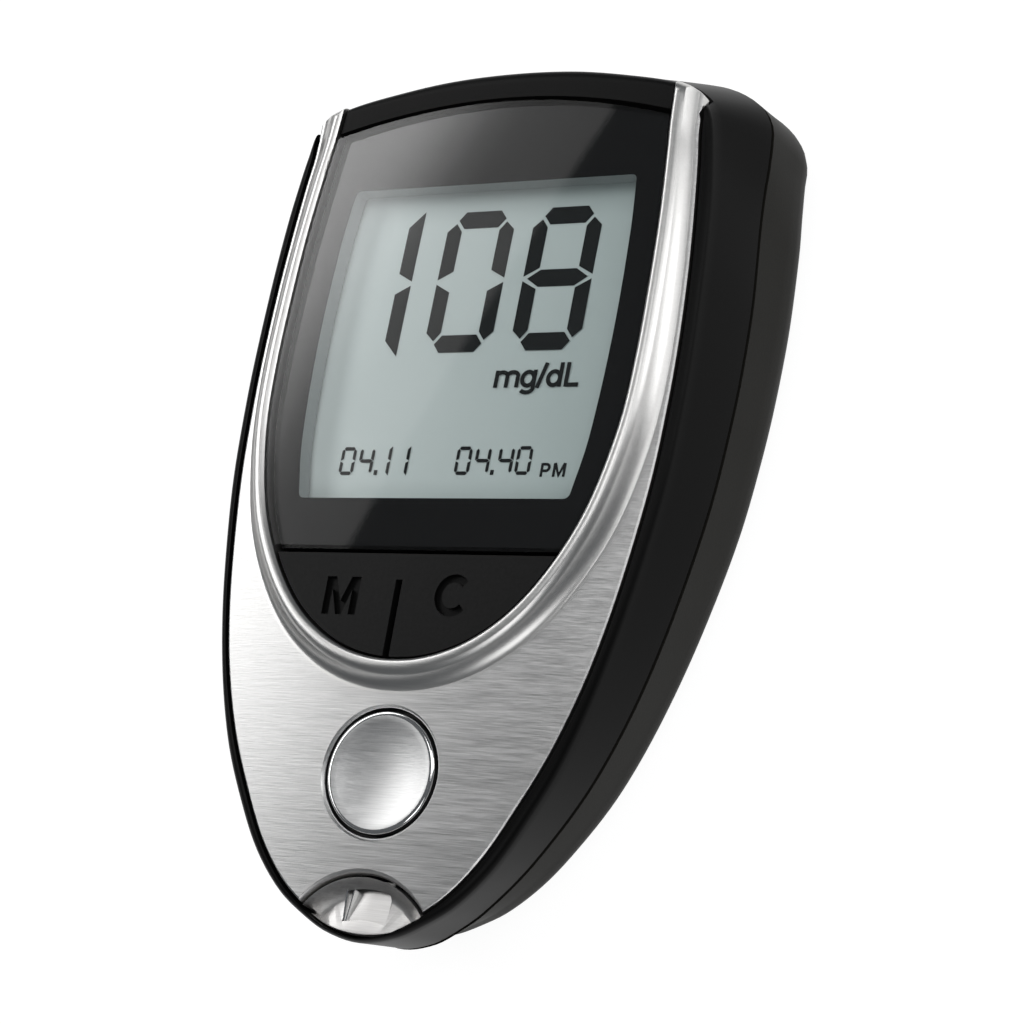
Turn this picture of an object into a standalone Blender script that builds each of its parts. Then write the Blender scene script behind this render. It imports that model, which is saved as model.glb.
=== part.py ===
"""Hand-held blood glucose meter, lying on its back, in metres.

The face frame has its origin on the top of the display rim, where the key joint crosses the
centre line, with +Z out of the display and +Y to the top end. Everything at the front is
modelled in it. An empty carries it, tipped by the wedge between the face and the back, so
that the flat back lies on Z = 0 of the scene.
"""

import math

import bmesh
import bpy
from mathutils import Vector

# Face outline: the edge where the face meets the black shoulder.
face_half_width = 0.02670
face_length = 0.0960
face_tip_y = -0.0400
outline_shares = (
    (0.0, 0.0), (0.1461, 0.0083), (0.2584, 0.025), (0.3801, 0.05), (0.5094, 0.0917),
    (0.6217, 0.1448), (0.7341, 0.2073), (0.8296, 0.2802), (0.8959, 0.3542), (0.9464, 0.4375),
    (0.982, 0.5208), (0.997, 0.6042), (1.0, 0.6667), (0.9925, 0.75), (0.9757, 0.8229),
    (0.9551, 0.8875), (0.9382, 0.9292), (0.9157, 0.9521), (0.8483, 0.9682), (0.7715, 0.9771),
    (0.5805, 0.987), (0.2996, 0.9969), (0.0, 1.0),
)
corner_low_share = 0.9292
corner_high_share = 0.9682

# Inner edge of the raised rim, which is the opening for the lens and the keys.
rim_border = 0.0040
rim_half_width = face_half_width - rim_border
rim_length = 0.06584
rim_tip_y = -0.01124
rim_shares = (
    (0.0, 0.0), (0.1335, 0.0036), (0.27, 0.0158), (0.404, 0.0371), (0.544, 0.072),
    (0.6665, 0.1176), (0.7819, 0.1783), (0.8744, 0.2467), (0.9374, 0.3226), (0.9833, 0.4137),
    (1.0, 0.52), (1.0, 0.6264), (0.9912, 0.7479), (0.967, 0.8694), (0.9515, 0.9301),
    (0.9427, 1.0),
)

# Heights of the crowned face, the rim and the cap above the display.
face_drop = 0.00142
crown_radius_width = 0.3125
crown_radius_length = 0.431
rim_radius = 1.144
cap_step = 0.0007

# Body side: offsets out from the face outline and drops below it, along the body.
station_shares = (0.0000, 0.0625, 0.1667, 0.3125, 0.5208, 0.7292, 0.8542, 0.9375, 0.9583, 1.0000)
shoulder_width = 0.00165
shoulder_drop = 0.0010
shoulder_shares = (0.242, 0.576, 0.727, 0.576, 0.697, 0.697, 0.758, 0.576, 0.515, 1.030)
seam_flare = 0.0043
seam_flare_shares = (-0.140, -0.070, 0.221, 0.435, 0.698, 0.814, 0.837, 1.023, 1.140, 0.977)
side_power_share = 1.05
seam_drop = 0.0080
seam_drop_shares = (1.175, 1.040, 1.000, 0.970, 0.955, 1.030, 1.056, 1.077, 1.083, 1.087)
back_flare = 0.0047
back_flare_shares = (-0.511, -0.262, 0.043, 0.223, 0.564, 0.809, 0.894, 0.936, 1.160, 1.426)
back_depth = 0.0225
back_wedge_share = 0.043
back_corner_radius = 0.0055
datum_y = -0.01166
wall = 0.0017
seam_gap = 0.0003
gap = 0.0003
spine_low_y = -0.0270
spine_high_y = 0.0430

# Face plate section, from the rim's inner edge outwards.
plate_thickness = 0.0013
deck_thickness = 0.0014
rim_chamfer = 0.00045
rim_chamfer_drop = 0.00035
rim_facet = 0.00125
rim_facet_drop = 0.00006
rim_wall = 0.0016
rim_wall_drop_share = 0.25
cove_width = 0.0034
cove_power_share = 2.2
edge_chamfer = 0.0003
nose_reach = 0.0012
nose_radius = 0.0015
nose_start_share = 0.3
nose_span_share = 0.5

# Display: lens, frame, glass and the board under them.
key_joint_y = 0.00075
joint_gap = 0.0004
lens_top_y = 0.0540
lens_top_radius = 0.0800
lens_recess = 0.00045
lens_thickness = 0.0014
window_border = 0.0040
window_half_width = rim_half_width - window_border
window_low_y = 0.0072
window_high_y = 0.0436
window_shares = ((0.0, 0.905), (0.18, 0.967), (0.5, 1.0), (0.82, 0.99), (1.0, 0.962))
frame_border = 0.0015
frame_height = 0.0019
glass_border = 0.0011
glass_thickness = 0.0016
board_level = -0.0072
board_thickness = 0.0008
board_border = 0.0032
board_half_width = rim_half_width - board_border
board_tail_half_width = 0.0100
board_high_y = 0.0400
board_step_y = -0.0060
board_low_y = -0.0275
contact_strip_width = 0.0020

# Rocker key with the centre slit.
key_recess = 0.00060
key_thickness = 0.0014
key_clearance = 0.00030
key_seat_drop = 0.0033
key_wall = 0.0012
slit_width = 0.0008
slit_top_y = -0.0023
post_radius = 0.0012
post_share = 0.3524
post_x = post_share * rim_half_width
post_y = -0.0042
key_pivot_drop = 0.0013
switch_radius = 0.0026
switch_dome_radius = 0.0015
switch_base = 0.0011
switch_height = 0.0020
switch_gap = 0.0003

# Round button with its dished cap and captive flange.
button_y = -0.02295
button_radius = 0.00652
button_gap = 0.00038
button_recess = 0.00010
button_chamfer = 0.00035
button_dish = 0.00070
button_dish_radius = 0.0058
button_travel = 0.0006
flange_reach = 0.0007
flange_thickness = 0.0007
stem_radius = 0.0016
bezel_width = 0.00045
bezel_drop = 0.00045

# Strip end: scoop, tray, guide and connector.
scoop_radius = 0.0098
scoop_y = -0.0433
scoop_half_angle = 0.80
tray_drop = 0.0019
tray_lip_drop = 0.0003
tray_edge_drop = 0.0009
tray_edge_slope = 0.0010
tray_cove = 0.0018
tray_thickness = 0.0012
guide_half_width = 0.0026
guide_drop = 0.0023
guide_rise = 0.00045
guide_inner_y = -0.0338
guide_outer_y = -0.0386
fin_thickness = 0.00035
fin_height = 0.0007
fin_inner_y = -0.0353
strip_half_width = 0.0034
strip_slot = 0.0010
connector_half_width = 0.0050
connector_front_y = -0.0331
connector_step_y = -0.0313
connector_back_y = -0.0280
connector_shelf_drop = 0.0040
connector_depth = 0.0072
pin_width = 0.0006
pin_thickness = 0.0003
pin_length = 0.0018
pin_pitch = 0.0020

# Battery bay, cells and cover, in the scene's frame.
cell_radius = 0.00525
cell_length = 0.0437
cell_nub_radius = 0.0019
cell_nub = 0.0008
cell_clearance = 0.0003
bay_centre_y = 0.0120
bay_wall = 0.0012
bay_roof = 0.0009
bay_ledge = 0.0014
contact_thickness = 0.0006
contact_room = 0.0012
contact_half_width = 0.0037
contact_height = 0.0075
cover_thickness = 0.0014
cover_recess = 0.00015
cover_gap = 0.0003
cover_corner = 0.0022
tongue_length = 0.0070
tongue_half_width = 0.0042
tongue_slit = 0.0008
grip_depth = 0.0005
grip_width = 0.0010
grip_pitch = 0.0018
hook_half_width = 0.0011
hook_reach = 0.0014
hook_thickness = 0.0010

# Screws and their bosses.
screw_head_radius = 0.0021
screw_head_height = 0.0014
screw_shank_radius = 0.0010
screw_reach = 0.0060
screw_recess = 0.0030
boss_wall = 0.0010
boss_gap = 0.0004
upper_screw_border = 0.0031
upper_screw_x = face_half_width - upper_screw_border
upper_screw_y = 0.0335
lower_screw_share = 0.5243
lower_screw_x = lower_screw_share * face_half_width
lower_screw_y = -0.0290
cross_width = 0.0006
cross_depth = 0.0006

# Parts on the board.
chip_size = 0.0070
chip_height = 0.0012
chip_x = -0.0045
chip_y = -0.0130
buzzer_radius = 0.0042
buzzer_height = 0.0024
buzzer_x = 0.0048
buzzer_y = -0.0140

# Working values that no piece shows.
overrun = 0.0040
pocket_over = 0.00005
merge_distance = 0.000002
flat_angle = 0.0005
corner_weight = 0.0070
half_points = 36
plate_rows = 29
dense_points = 400
round_sides = 36
small_sides = 14


def clear_scene():
    for item in list(bpy.data.objects):
        bpy.data.objects.remove(item, do_unlink=True)


def material(name, colour, roughness, metallic=0.0, alpha=1.0):
    made = bpy.data.materials.new(name)
    made.use_nodes = True
    shader = made.node_tree.nodes["Principled BSDF"]
    shader.inputs["Base Color"].default_value = (*colour, 1.0)
    shader.inputs["Roughness"].default_value = roughness
    shader.inputs["Metallic"].default_value = metallic
    shader.inputs["Alpha"].default_value = alpha
    made.diffuse_color = (*colour, alpha)
    return made


# Curves and tables

def hermite(a, b, slope_a, slope_b, span, share):
    """Cubic from a to b with end slopes, at a share of the span."""
    s2 = share * share
    s3 = s2 * share
    return (
        a * (2 * s3 - 3 * s2 + 1)
        + b * (3 * s2 - 2 * s3)
        + span * slope_a * (s3 - 2 * s2 + share)
        + span * slope_b * (s3 - s2)
    )


def slopes(stations, values):
    last = len(stations) - 1
    found = []
    for i in range(len(stations)):
        low = max(i - 1, 0)
        high = min(i + 1, last)
        found.append((values[high] - values[low]) / (stations[high] - stations[low]))
    return found


def read_table(stations, values, at):
    """Smooth value of a table, held beyond its ends."""
    at = min(max(at, stations[0]), stations[-1])
    grades = slopes(stations, values)
    for i in range(len(stations) - 1):
        if at <= stations[i + 1]:
            span = stations[i + 1] - stations[i]
            share = (at - stations[i]) / span
            return hermite(values[i], values[i + 1], grades[i], grades[i + 1], span, share)
    return values[-1]


def smooth_curve(knots, count, mirror_start, mirror_end):
    """Even points along a smooth curve through knots. A mirrored end meets X = 0 squarely."""
    path = [Vector(knot) for knot in knots]
    if mirror_start:
        path.insert(0, Vector((-path[1].x, path[1].y)))
    if mirror_end:
        path.append(Vector((-path[-2].x, path[-2].y)))
    lengths = [0.0]
    for i in range(1, len(path)):
        lengths.append(lengths[-1] + (path[i] - path[i - 1]).length)
    first = 1 if mirror_start else 0
    last = len(path) - (2 if mirror_end else 1)
    xs = [point.x for point in path]
    ys = [point.y for point in path]
    points = []
    for i in range(count + 1):
        at = lengths[first] + (lengths[last] - lengths[first]) * i / count
        points.append(Vector((read_table(lengths, xs, at), read_table(lengths, ys, at))))
    if mirror_start:
        points[0].x = 0.0
    if mirror_end:
        points[-1].x = 0.0
    return points


def curve_normals(points):
    """Unit normals to the right of the way along an open curve that starts on X = 0."""
    last = len(points) - 1
    found = []
    for i in range(len(points)):
        way = points[min(i + 1, last)] - points[max(i - 1, 0)]
        if i == 0:
            way = Vector((1.0, 0.0))
        found.append(Vector((way.y, -way.x)).normalized())
    return found


def smooth_step(value):
    share = min(max(value, 0.0), 1.0)
    return share * share * (3 - 2 * share)


def face_y(share):
    return face_tip_y + face_length * share


def outline_half():
    """Points and outward normals of the right half of the face outline, closer in the bends."""
    knots = [(x * face_half_width, face_y(y)) for x, y in outline_shares]
    dense = smooth_curve(knots, dense_points, True, True)
    normals = curve_normals(dense)
    normals[-1] = Vector((0.0, 1.0))
    weights = [0.0]
    for i in range(1, len(dense)):
        turn = normals[i].angle(normals[i - 1])
        step = (dense[i] - dense[i - 1]).length + corner_weight * turn
        weights.append(weights[-1] + step)
    picked = []
    for i in range(half_points + 1):
        goal = weights[-1] * i / half_points
        nearest = min(range(len(dense)), key=lambda k: abs(weights[k] - goal))
        picked.append((dense[nearest], normals[nearest]))
    return picked


def outline_ring():
    """The whole outline as (point, normal), from the tip up the right side and back."""
    right = outline_half()
    left = []
    for point, normal in reversed(right[1:-1]):
        left.append((Vector((-point.x, point.y)), Vector((-normal.x, normal.y))))
    return right + left


def station_value(size, shares, y):
    stations = [face_y(share) for share in station_shares]
    return size * read_table(stations, shares, y)


# Surfaces of the face frame

def face_level(x, y):
    """The face is level along the display and falls away towards the tip."""
    fall = min(y, 0.0) ** 2 / (2 * crown_radius_length)
    return -(face_drop + x * x / (2 * crown_radius_width) + fall)


def rim_level(y):
    return -y * y / (2 * rim_radius)


def cap_level(y):
    return rim_level(y) - cap_step


def edge_level(x, y):
    """Height of the outline: on the face along the sides, on the cap across the top end."""
    low = face_y(corner_low_share)
    high = face_y(corner_high_share)
    share = smooth_step((y - low) / (high - low))
    return face_level(x, y) * (1 - share) + cap_level(y) * share


def seam_level(x, y):
    return face_level(x, y) - station_value(seam_drop, seam_drop_shares, y)


def back_level(y):
    return -back_depth - back_wedge_share * y


def deck_level(x, y):
    """Top of the deck that carries the face plate."""
    return face_level(x, y) - plate_thickness - gap


# Mesh builders

def finish(name, bm, made, parent):
    bmesh.ops.remove_doubles(bm, verts=bm.verts, dist=merge_distance)
    bmesh.ops.dissolve_degenerate(bm, edges=bm.edges, dist=merge_distance)
    bmesh.ops.connect_verts_nonplanar(bm, angle_limit=flat_angle, faces=bm.faces)
    bmesh.ops.recalc_face_normals(bm, faces=bm.faces)
    mesh = bpy.data.meshes.new(name)
    bm.to_mesh(mesh)
    bm.free()
    mesh.materials.append(made)
    item = bpy.data.objects.new(name, mesh)
    bpy.context.collection.objects.link(item)
    item.parent = parent
    return item


def loft(name, rings, made, parent, cap_ends=False):
    """Closed body through rings of equal count. Without caps its end rings close on a line."""
    bm = bmesh.new()
    add_rings(bm, rings, cap_ends)
    return finish(name, bm, made, parent)


def add_rings(bm, rings, cap_ends):
    rows = [[bm.verts.new(point) for point in ring] for ring in rings]
    count = len(rows[0])
    for low, high in zip(rows, rows[1:]):
        for i in range(count):
            j = (i + 1) % count
            bm.faces.new((low[i], low[j], high[j], high[i]))
    if cap_ends:
        bm.faces.new(list(reversed(rows[0])))
        bm.faces.new(rows[-1])


def strip_body(name, sections, made, parent):
    """Closed body through open runs of closed sections, with flat ends."""
    return loft(name, sections, made, parent, cap_ends=True)


def ring_at(offset_of, level_of):
    """Ring offset from the outline. Both rules take the outline's x, y and normal."""
    points = []
    for point, normal in outline_ring():
        at = point + normal * offset_of(point.x, point.y, normal)
        points.append(Vector((at.x, at.y, level_of(point.x, point.y, at))))
    return points


def fan(ring, level_of, shares):
    """Rings that draw in from a ring to the spine. The first share keeps the ring's height."""
    made = []
    for share in shares:
        row = []
        for point in ring:
            spine = Vector((0.0, min(max(point.y, spine_low_y), spine_high_y)))
            x = point.x + (spine.x - point.x) * share
            y = point.y + (spine.y - point.y) * share
            ease = smooth_step(share / shares[0])
            row.append(Vector((x, y, point.z * (1 - ease) + level_of(x, y) * ease)))
        made.append(row)
    return made


def turned(name, profile, made, parent, sides=round_sides, place=(0.0, 0.0, 0.0), turn_by=0.5):
    """Body of revolution about Z through (radius, z) points that start and end on the axis."""
    item = loft(name, turned_rings(profile, sides, (0.0, 0.0), turn_by), made, parent)
    item.location = place
    return item


def turned_rings(profile, sides, centre, turn_by=0.5):
    rings = []
    for radius, z in profile:
        ring = []
        for i in range(sides):
            turn = math.tau * (i + turn_by) / sides
            ring.append(Vector((centre[0] + radius * math.cos(turn),
                                centre[1] + radius * math.sin(turn), z)))
        rings.append(ring)
    return rings


def turned_set(name, profiles, sides, made, parent, turn_by=0.5):
    """Separate bodies of revolution in one mesh: it joins or cuts all their places at once."""
    bm = bmesh.new()
    for profile, centre in profiles:
        add_rings(bm, turned_rings(profile, sides, centre, turn_by), False)
    return finish(name, bm, made, parent)


def box(name, low, high, made, parent):
    ring_low = []
    ring_high = []
    for x, y in ((low[0], low[1]), (high[0], low[1]), (high[0], high[1]), (low[0], high[1])):
        ring_low.append(Vector((x, y, low[2])))
        ring_high.append(Vector((x, y, high[2])))
    return loft(name, [ring_low, ring_high], made, parent, cap_ends=True)


def sheet(name, width_of, low_of, high_of, top_of, bottom_of, columns, rows, made, parent):
    """Closed sheet: across by shares of a half width that depends on y, up between two edges."""
    bm = bmesh.new()
    layers = []
    for level_of in (bottom_of, top_of):
        grid = []
        for row in range(rows + 1):
            line = []
            for column in range(columns + 1):
                across = 2 * column / columns - 1
                up = 1 - math.cos(math.pi * row / (2 * rows))
                y = low_of(across) + (high_of(across) - low_of(across)) * up
                x = across * width_of(y)
                line.append(bm.verts.new((x, y, level_of(x, y))))
            grid.append(line)
        layers.append(grid)
    for grid, flip in zip(layers, (True, False)):
        for row in range(rows):
            for column in range(columns):
                loop = [grid[row][column], grid[row][column + 1],
                        grid[row + 1][column + 1], grid[row + 1][column]]
                bm.faces.new(reversed(loop) if flip else loop)
    low, high = layers
    edge = [(0, column) for column in range(columns)]
    edge += [(row, columns) for row in range(rows)]
    edge += [(rows, column) for column in range(columns, 0, -1)]
    edge += [(row, 0) for row in range(rows, 0, -1)]
    for (r0, c0), (r1, c1) in zip(edge, edge[1:] + edge[:1]):
        bm.faces.new((low[r0][c0], low[r1][c1], high[r1][c1], high[r0][c0]))
    return finish(name, bm, made, parent)


def rounded_prism(name, half_x, low_y, high_y, low_z, high_z, radius, made, parent):
    """Upright prism on a rectangle with round corners, centred on X = 0."""
    rings = []
    quarter = 5
    for z in (low_z, high_z):
        ring = []
        for corner, (cx, cy) in enumerate(((1, 1), (-1, 1), (-1, -1), (1, -1))):
            for i in range(quarter + 1):
                turn = math.pi / 2 * (corner + i / quarter)
                x = cx * (half_x - radius) + radius * math.cos(turn)
                middle = (low_y + high_y) / 2
                y = middle + cy * ((high_y - low_y) / 2 - radius) + radius * math.sin(turn)
                ring.append(Vector((x, y, z)))
        rings.append(ring)
    return loft(name, rings, made, parent, cap_ends=True)


def combine(item, other, operation):
    modifier = item.modifiers.new(other.name, "BOOLEAN")
    modifier.operation = operation
    modifier.solver = "EXACT"
    modifier.object = other
    other.hide_render = True
    other.display_type = "WIRE"


def smooth(item, degrees=35):
    item.data.shade_smooth()
    item.data.set_sharp_from_angle(angle=math.radians(degrees))


# Housings

def shoulder_rings():
    """Outer rings of the front housing from the shoulder's foot up to the outline."""
    rings = []
    for degrees in (90, 62, 36, 14, 0):
        turn = math.radians(degrees)
        rings.append(ring_at(
            lambda x, y, n, t=turn: station_value(shoulder_width, shoulder_shares, y) * math.sin(t),
            lambda x, y, at, t=turn: edge_level(x, y) - shoulder_drop * (1 - math.cos(t)),
        ))
    return rings


def side_offset(x, y, share):
    """Offset of the front wall at a share of the way from the seam up to the shoulder."""
    seam = station_value(seam_flare, seam_flare_shares, y)
    shoulder = station_value(shoulder_width, shoulder_shares, y)
    return seam + (shoulder - seam) * share ** side_power_share


def build_front_housing(made, frame):
    ceiling = plate_thickness + gap + deck_thickness

    def ceiling_level(x, y):
        return face_level(x, y) - ceiling

    rings = []
    inner = ring_at(
        lambda x, y, n: -wall,
        lambda x, y, at: face_level(x, y) - ceiling,
    )
    rings += list(reversed(fan(inner, ceiling_level, (0.35, 0.7, 1.0))))
    rings.append(inner)
    rings.append(ring_at(
        lambda x, y, n: side_offset(x, y, 0.7) - wall,
        lambda x, y, at: face_level(x, y) - ceiling - wall,
    ))
    rings.append(ring_at(
        lambda x, y, n: side_offset(x, y, 0) - wall,
        lambda x, y, at: seam_level(x, y) + seam_gap / 2,
    ))
    for share in (0.0, 0.35, 0.7):
        rings.append(ring_at(
            lambda x, y, n, s=share: side_offset(x, y, s),
            lambda x, y, at, s=share: (seam_level(x, y) + seam_gap / 2) * (1 - s)
            + (edge_level(x, y) - shoulder_drop) * s,
        ))
    rings += shoulder_rings()
    rings += fan(rings[-1], lambda x, y: cap_level(y), (0.25, 0.6, 1.0))
    return loft("front_housing", rings, made, frame)


def cut_face(item, made, frame):
    combine(item, build_pocket(made, frame), "DIFFERENCE")
    for cutter in face_cutters(made, frame):
        combine(item, cutter, "DIFFERENCE")


def build_rear_housing(made, frame):
    def low_offset(x, y, n):
        return station_value(back_flare, back_flare_shares, y)

    rings = []
    floor = ring_at(
        lambda x, y, n: low_offset(x, y, n) - back_corner_radius,
        lambda x, y, at: back_level(at.y) + wall,
    )
    rings += list(reversed(fan(floor, lambda x, y: back_level(y) + wall, (0.4, 1.0))))
    rings.append(floor)
    rings.append(ring_at(
        lambda x, y, n: low_offset(x, y, n) - wall,
        lambda x, y, at: back_level(at.y) + back_corner_radius,
    ))
    rings.append(ring_at(
        lambda x, y, n: side_offset(x, y, 0) - wall,
        lambda x, y, at: seam_level(x, y) - seam_gap / 2,
    ))
    rings.append(ring_at(
        lambda x, y, n: side_offset(x, y, 0),
        lambda x, y, at: seam_level(x, y) - seam_gap / 2,
    ))
    for degrees in (0, 22, 45, 67, 90):
        turn = math.radians(degrees)
        inward = back_corner_radius * (1 - math.cos(turn))
        rise = back_corner_radius * (1 - math.sin(turn))
        rings.append(ring_at(
            lambda x, y, n, i=inward: low_offset(x, y, n) - i,
            lambda x, y, at, r=rise: back_level(at.y) + r,
        ))
    rings += fan(rings[-1], lambda x, y: back_level(y), (0.4, 1.0))
    return loft("rear_housing", rings, made, frame)


# Face plate

def rim_half(extend):
    """Dense points and outward normals of the right half of the rim, run on past its top."""
    knots = [(x * rim_half_width, rim_tip_y + rim_length * y) for x, y in rim_shares]
    knots.append((knots[-1][0], knots[-1][1] + extend))
    points = smooth_curve(knots, dense_points, True, False)
    return points, curve_normals(points)


def side_half(extend):
    """The face outline's right half up to its corner, then straight on past the top end."""
    knots = []
    for x, y in outline_shares:
        if y <= corner_low_share:
            knots.append((x * face_half_width, face_y(y)))
    knots.append((knots[-1][0], face_y(1.0) + extend))
    return smooth_curve(knots, dense_points, True, False)


def ray_hit(start, way, path):
    """Distance along a ray to an open path."""
    best = None
    for a, b in zip(path, path[1:]):
        run = b - a
        across = way.x * run.y - way.y * run.x
        if abs(across) < 1e-12:
            continue
        gone = a - start
        along = (gone.x * run.y - gone.y * run.x) / across
        share = (gone.x * way.y - gone.y * way.x) / across
        if along > 0 and -0.001 <= share <= 1.001 and (best is None or along < best):
            best = along
    return best


def plate_stations(extend):
    """(rim point, normal, width to the outline) up the right side, evenly along both edges."""
    points, normals = rim_half(extend)
    side = side_half(2 * extend)
    found = []
    travelled = [0.0]
    for point, normal in zip(points, normals):
        width = ray_hit(point, normal, side)
        if width is None or point.y > face_y(1.0) + extend:
            break
        outer = point + normal * width
        if found:
            before, before_outer = found[-1][0], found[-1][3]
            step = (point - before).length + (outer - before_outer).length
            travelled.append(travelled[-1] + step)
        found.append((point, normal, width, outer))
    rows = []
    for i in range(plate_rows + 1):
        goal = travelled[-1] * i / plate_rows
        nearest = min(range(len(found)), key=lambda k: abs(travelled[k] - goal))
        rows.append(found[nearest][:3])
    return rows


def both_sides(rows):
    left = []
    for point, normal, width in reversed(rows[1:]):
        left.append((Vector((-point.x, point.y)), Vector((-normal.x, normal.y)), width))
    return left + rows


def plate_section(point, normal, width):
    """Closed section of the face plate: rim, cove and plate on top, then the underside."""
    reach = width - gap
    scale = min(1.0, (reach - edge_chamfer) / cove_width)
    section = []

    def add(distance, level_of):
        at = point + normal * distance
        section.append(Vector((at.x, at.y, level_of(at))))

    add(0.0, lambda at: rim_level(at.y) - rim_chamfer_drop)
    add(rim_chamfer * scale, lambda at: rim_level(at.y))
    add(rim_facet * scale, lambda at: rim_level(at.y) - rim_facet_drop)
    for share in (0.0, 0.2, 0.42, 0.68, 1.0):
        distance = (rim_wall + (cove_width - rim_wall) * share) * scale
        left = (1 - share) ** cove_power_share * (1 - rim_wall_drop_share)

        def cove(at, left=left):
            plate = face_level(at.x, at.y)
            return plate + (rim_level(at.y) - plate) * left

        add(distance, cove)
    start = cove_width * scale
    for share in (0.4, 1.0):
        distance = start + (reach - edge_chamfer - start) * share
        add(distance, lambda at: face_level(at.x, at.y))
    add(reach, lambda at: face_level(at.x, at.y) - edge_chamfer)
    for share in (1.0, 0.5, 0.0):
        add(reach * share, lambda at: face_level(at.x, at.y) - plate_thickness)
    return section


def envelope_offset(normal, side, end):
    share = smooth_step((normal.y - nose_start_share) / nose_span_share)
    return side + (end - side) * share


def build_envelope(name, side, end, radius, made, frame):
    """Loft round the outline whose top edge is rounded: it shapes the band's folded ends."""
    rings = []
    floor = face_drop + seam_drop + overrun
    low = ring_at(
        lambda x, y, n: envelope_offset(n, side, end),
        lambda x, y, at: rim_level(y) - floor,
    )
    rings += list(reversed(fan(low, lambda x, y: rim_level(y) - floor, (0.5, 1.0))))
    rings.append(low)
    for degrees in (0, 30, 60, 90):
        turn = math.radians(degrees)
        rings.append(ring_at(
            lambda x, y, n, t=turn: envelope_offset(n, side, end) - radius * (1 - math.cos(t)),
            lambda x, y, at, t=turn: rim_level(y) - radius * (1 - math.sin(t)),
        ))
    rings += fan(rings[-1], lambda x, y: rim_level(y) + overrun, (0.3, 1.0))
    return loft(name, rings, made, frame)


def build_face_plate(made, frame):
    rows = both_sides(plate_stations(overrun))
    sections = [plate_section(*row) for row in rows]
    item = strip_body("face_plate", sections, made, frame)
    combine(item, build_envelope("plate_envelope", -gap, nose_reach, nose_radius, made, frame),
            "INTERSECT")
    combine(item, button_hole("plate_button_hole", made, frame), "DIFFERENCE")
    scoop = turned("plate_scoop", ((0.0, -2 * overrun), (scoop_radius, -2 * overrun),
                                   (scoop_radius, overrun), (0.0, overrun)),
                   made, frame, place=(0.0, scoop_y, 0.0))
    combine(item, scoop, "DIFFERENCE")
    return item


def build_pocket(made, frame):
    """Room for the face plate in the front housing, with the named gap all round."""
    sections = []
    for point, normal, width in both_sides(plate_stations(overrun)):
        section = []
        for distance, raised in ((-gap, True), (width + pocket_over, True),
                                 (width + pocket_over, False), (width / 2, False),
                                 (-gap, False)):
            at = point + normal * distance
            level = overrun if raised else deck_level(at.x, at.y)
            section.append(Vector((at.x, at.y, level)))
        sections.append(section)
    return strip_body("plate_pocket", sections, made, frame)


# Display and keys

def width_table(inset):
    """The rim's half width as a quick rule of y."""
    points, normals = rim_half(overrun)
    path = [point - normal * inset for point, normal in zip(points, normals)]
    path[0].x = 0.0

    def rule(y):
        if y <= path[0].y:
            return 0.0
        for a, b in zip(path, path[1:]):
            if a.y <= y <= b.y:
                return a.x + (b.x - a.x) * (y - a.y) / max(b.y - a.y, merge_distance)
        return path[-1].x

    return rule, path[0].y


def lens_high(inset):
    """Top edge of the lens, an arc, as a rule of the share across."""
    def rule(across):
        x = across * rim_half_width
        return lens_top_y - inset - x * x / (2 * lens_top_radius)
    return rule


def window_width(grow):
    def rule(y):
        share = (y - window_low_y) / (window_high_y - window_low_y)
        stations = [pair[0] for pair in window_shares]
        values = [pair[1] for pair in window_shares]
        return window_half_width * read_table(stations, values, share) + grow
    return rule


def level_below(depth):
    return lambda x, y: rim_level(y) - depth


def face_cutters(made, frame):
    """Seats and openings of the front housing for the lens, display, keys, button and strip."""
    seat_depth = lens_recess + lens_thickness + gap
    lens_width, _ = width_table(-gap)
    cutters = [sheet(
        "lens_seat", lens_width, lambda a: key_joint_y - overrun, lens_high(-gap),
        lambda x, y: overrun, level_below(seat_depth), 8, 8, made, frame)]
    cutters.append(sheet(
        "key_seat", lens_width, lambda a: rim_tip_y - gap + pocket_over,
        lambda a: key_joint_y + joint_gap, lambda x, y: overrun,
        level_below(key_seat_drop), 8, 14, made, frame))
    border = frame_border + gap
    low = window_low_y - border
    high = window_high_y + border
    cutters.append(sheet(
        "display_opening", window_width(border), lambda a: low, lambda a: high,
        lambda x, y: overrun, level_below(2 * seam_drop), 4, 8, made, frame))
    key_width, key_low = width_table(key_wall)
    cutters.append(sheet(
        "key_opening", key_width, lambda a: key_low,
        lambda a: key_joint_y - joint_gap, lambda x, y: overrun,
        level_below(2 * seam_drop), 6, 12, made, frame))
    radius = button_radius + button_gap + flange_reach + gap
    cutters.append(turned(
        "deck_button_hole", ((0.0, -2 * seam_drop), (radius, -2 * seam_drop),
                             (radius, overrun), (0.0, overrun)),
        made, frame, place=(0.0, button_y, 0.0)))
    tray = tray_body("tray_room", gap, tray_depth() + gap, overrun, made, frame)
    cutters.append(tray)
    mouth = strip_half_width + gap
    level = face_level(0.0, guide_inner_y)
    cutters.append(box(
        "connector_room",
        (-connector_half_width - gap, connector_front_y - 2 * gap, level - connector_depth),
        (connector_half_width + gap, connector_back_y + gap, overrun), made, frame))
    cutters.append(box(
        "strip_way", (-mouth, guide_outer_y - gap, level - guide_drop - tray_thickness - gap),
        (mouth, connector_front_y, level - guide_drop + strip_slot), made, frame))
    return cutters


def build_lens(made, frame):
    rule, _ = width_table(gap)
    return sheet("display_lens", rule, lambda a: key_joint_y + joint_gap, lens_high(gap),
                 level_below(lens_recess), level_below(lens_recess + lens_thickness),
                 8, 10, made, frame)


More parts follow.
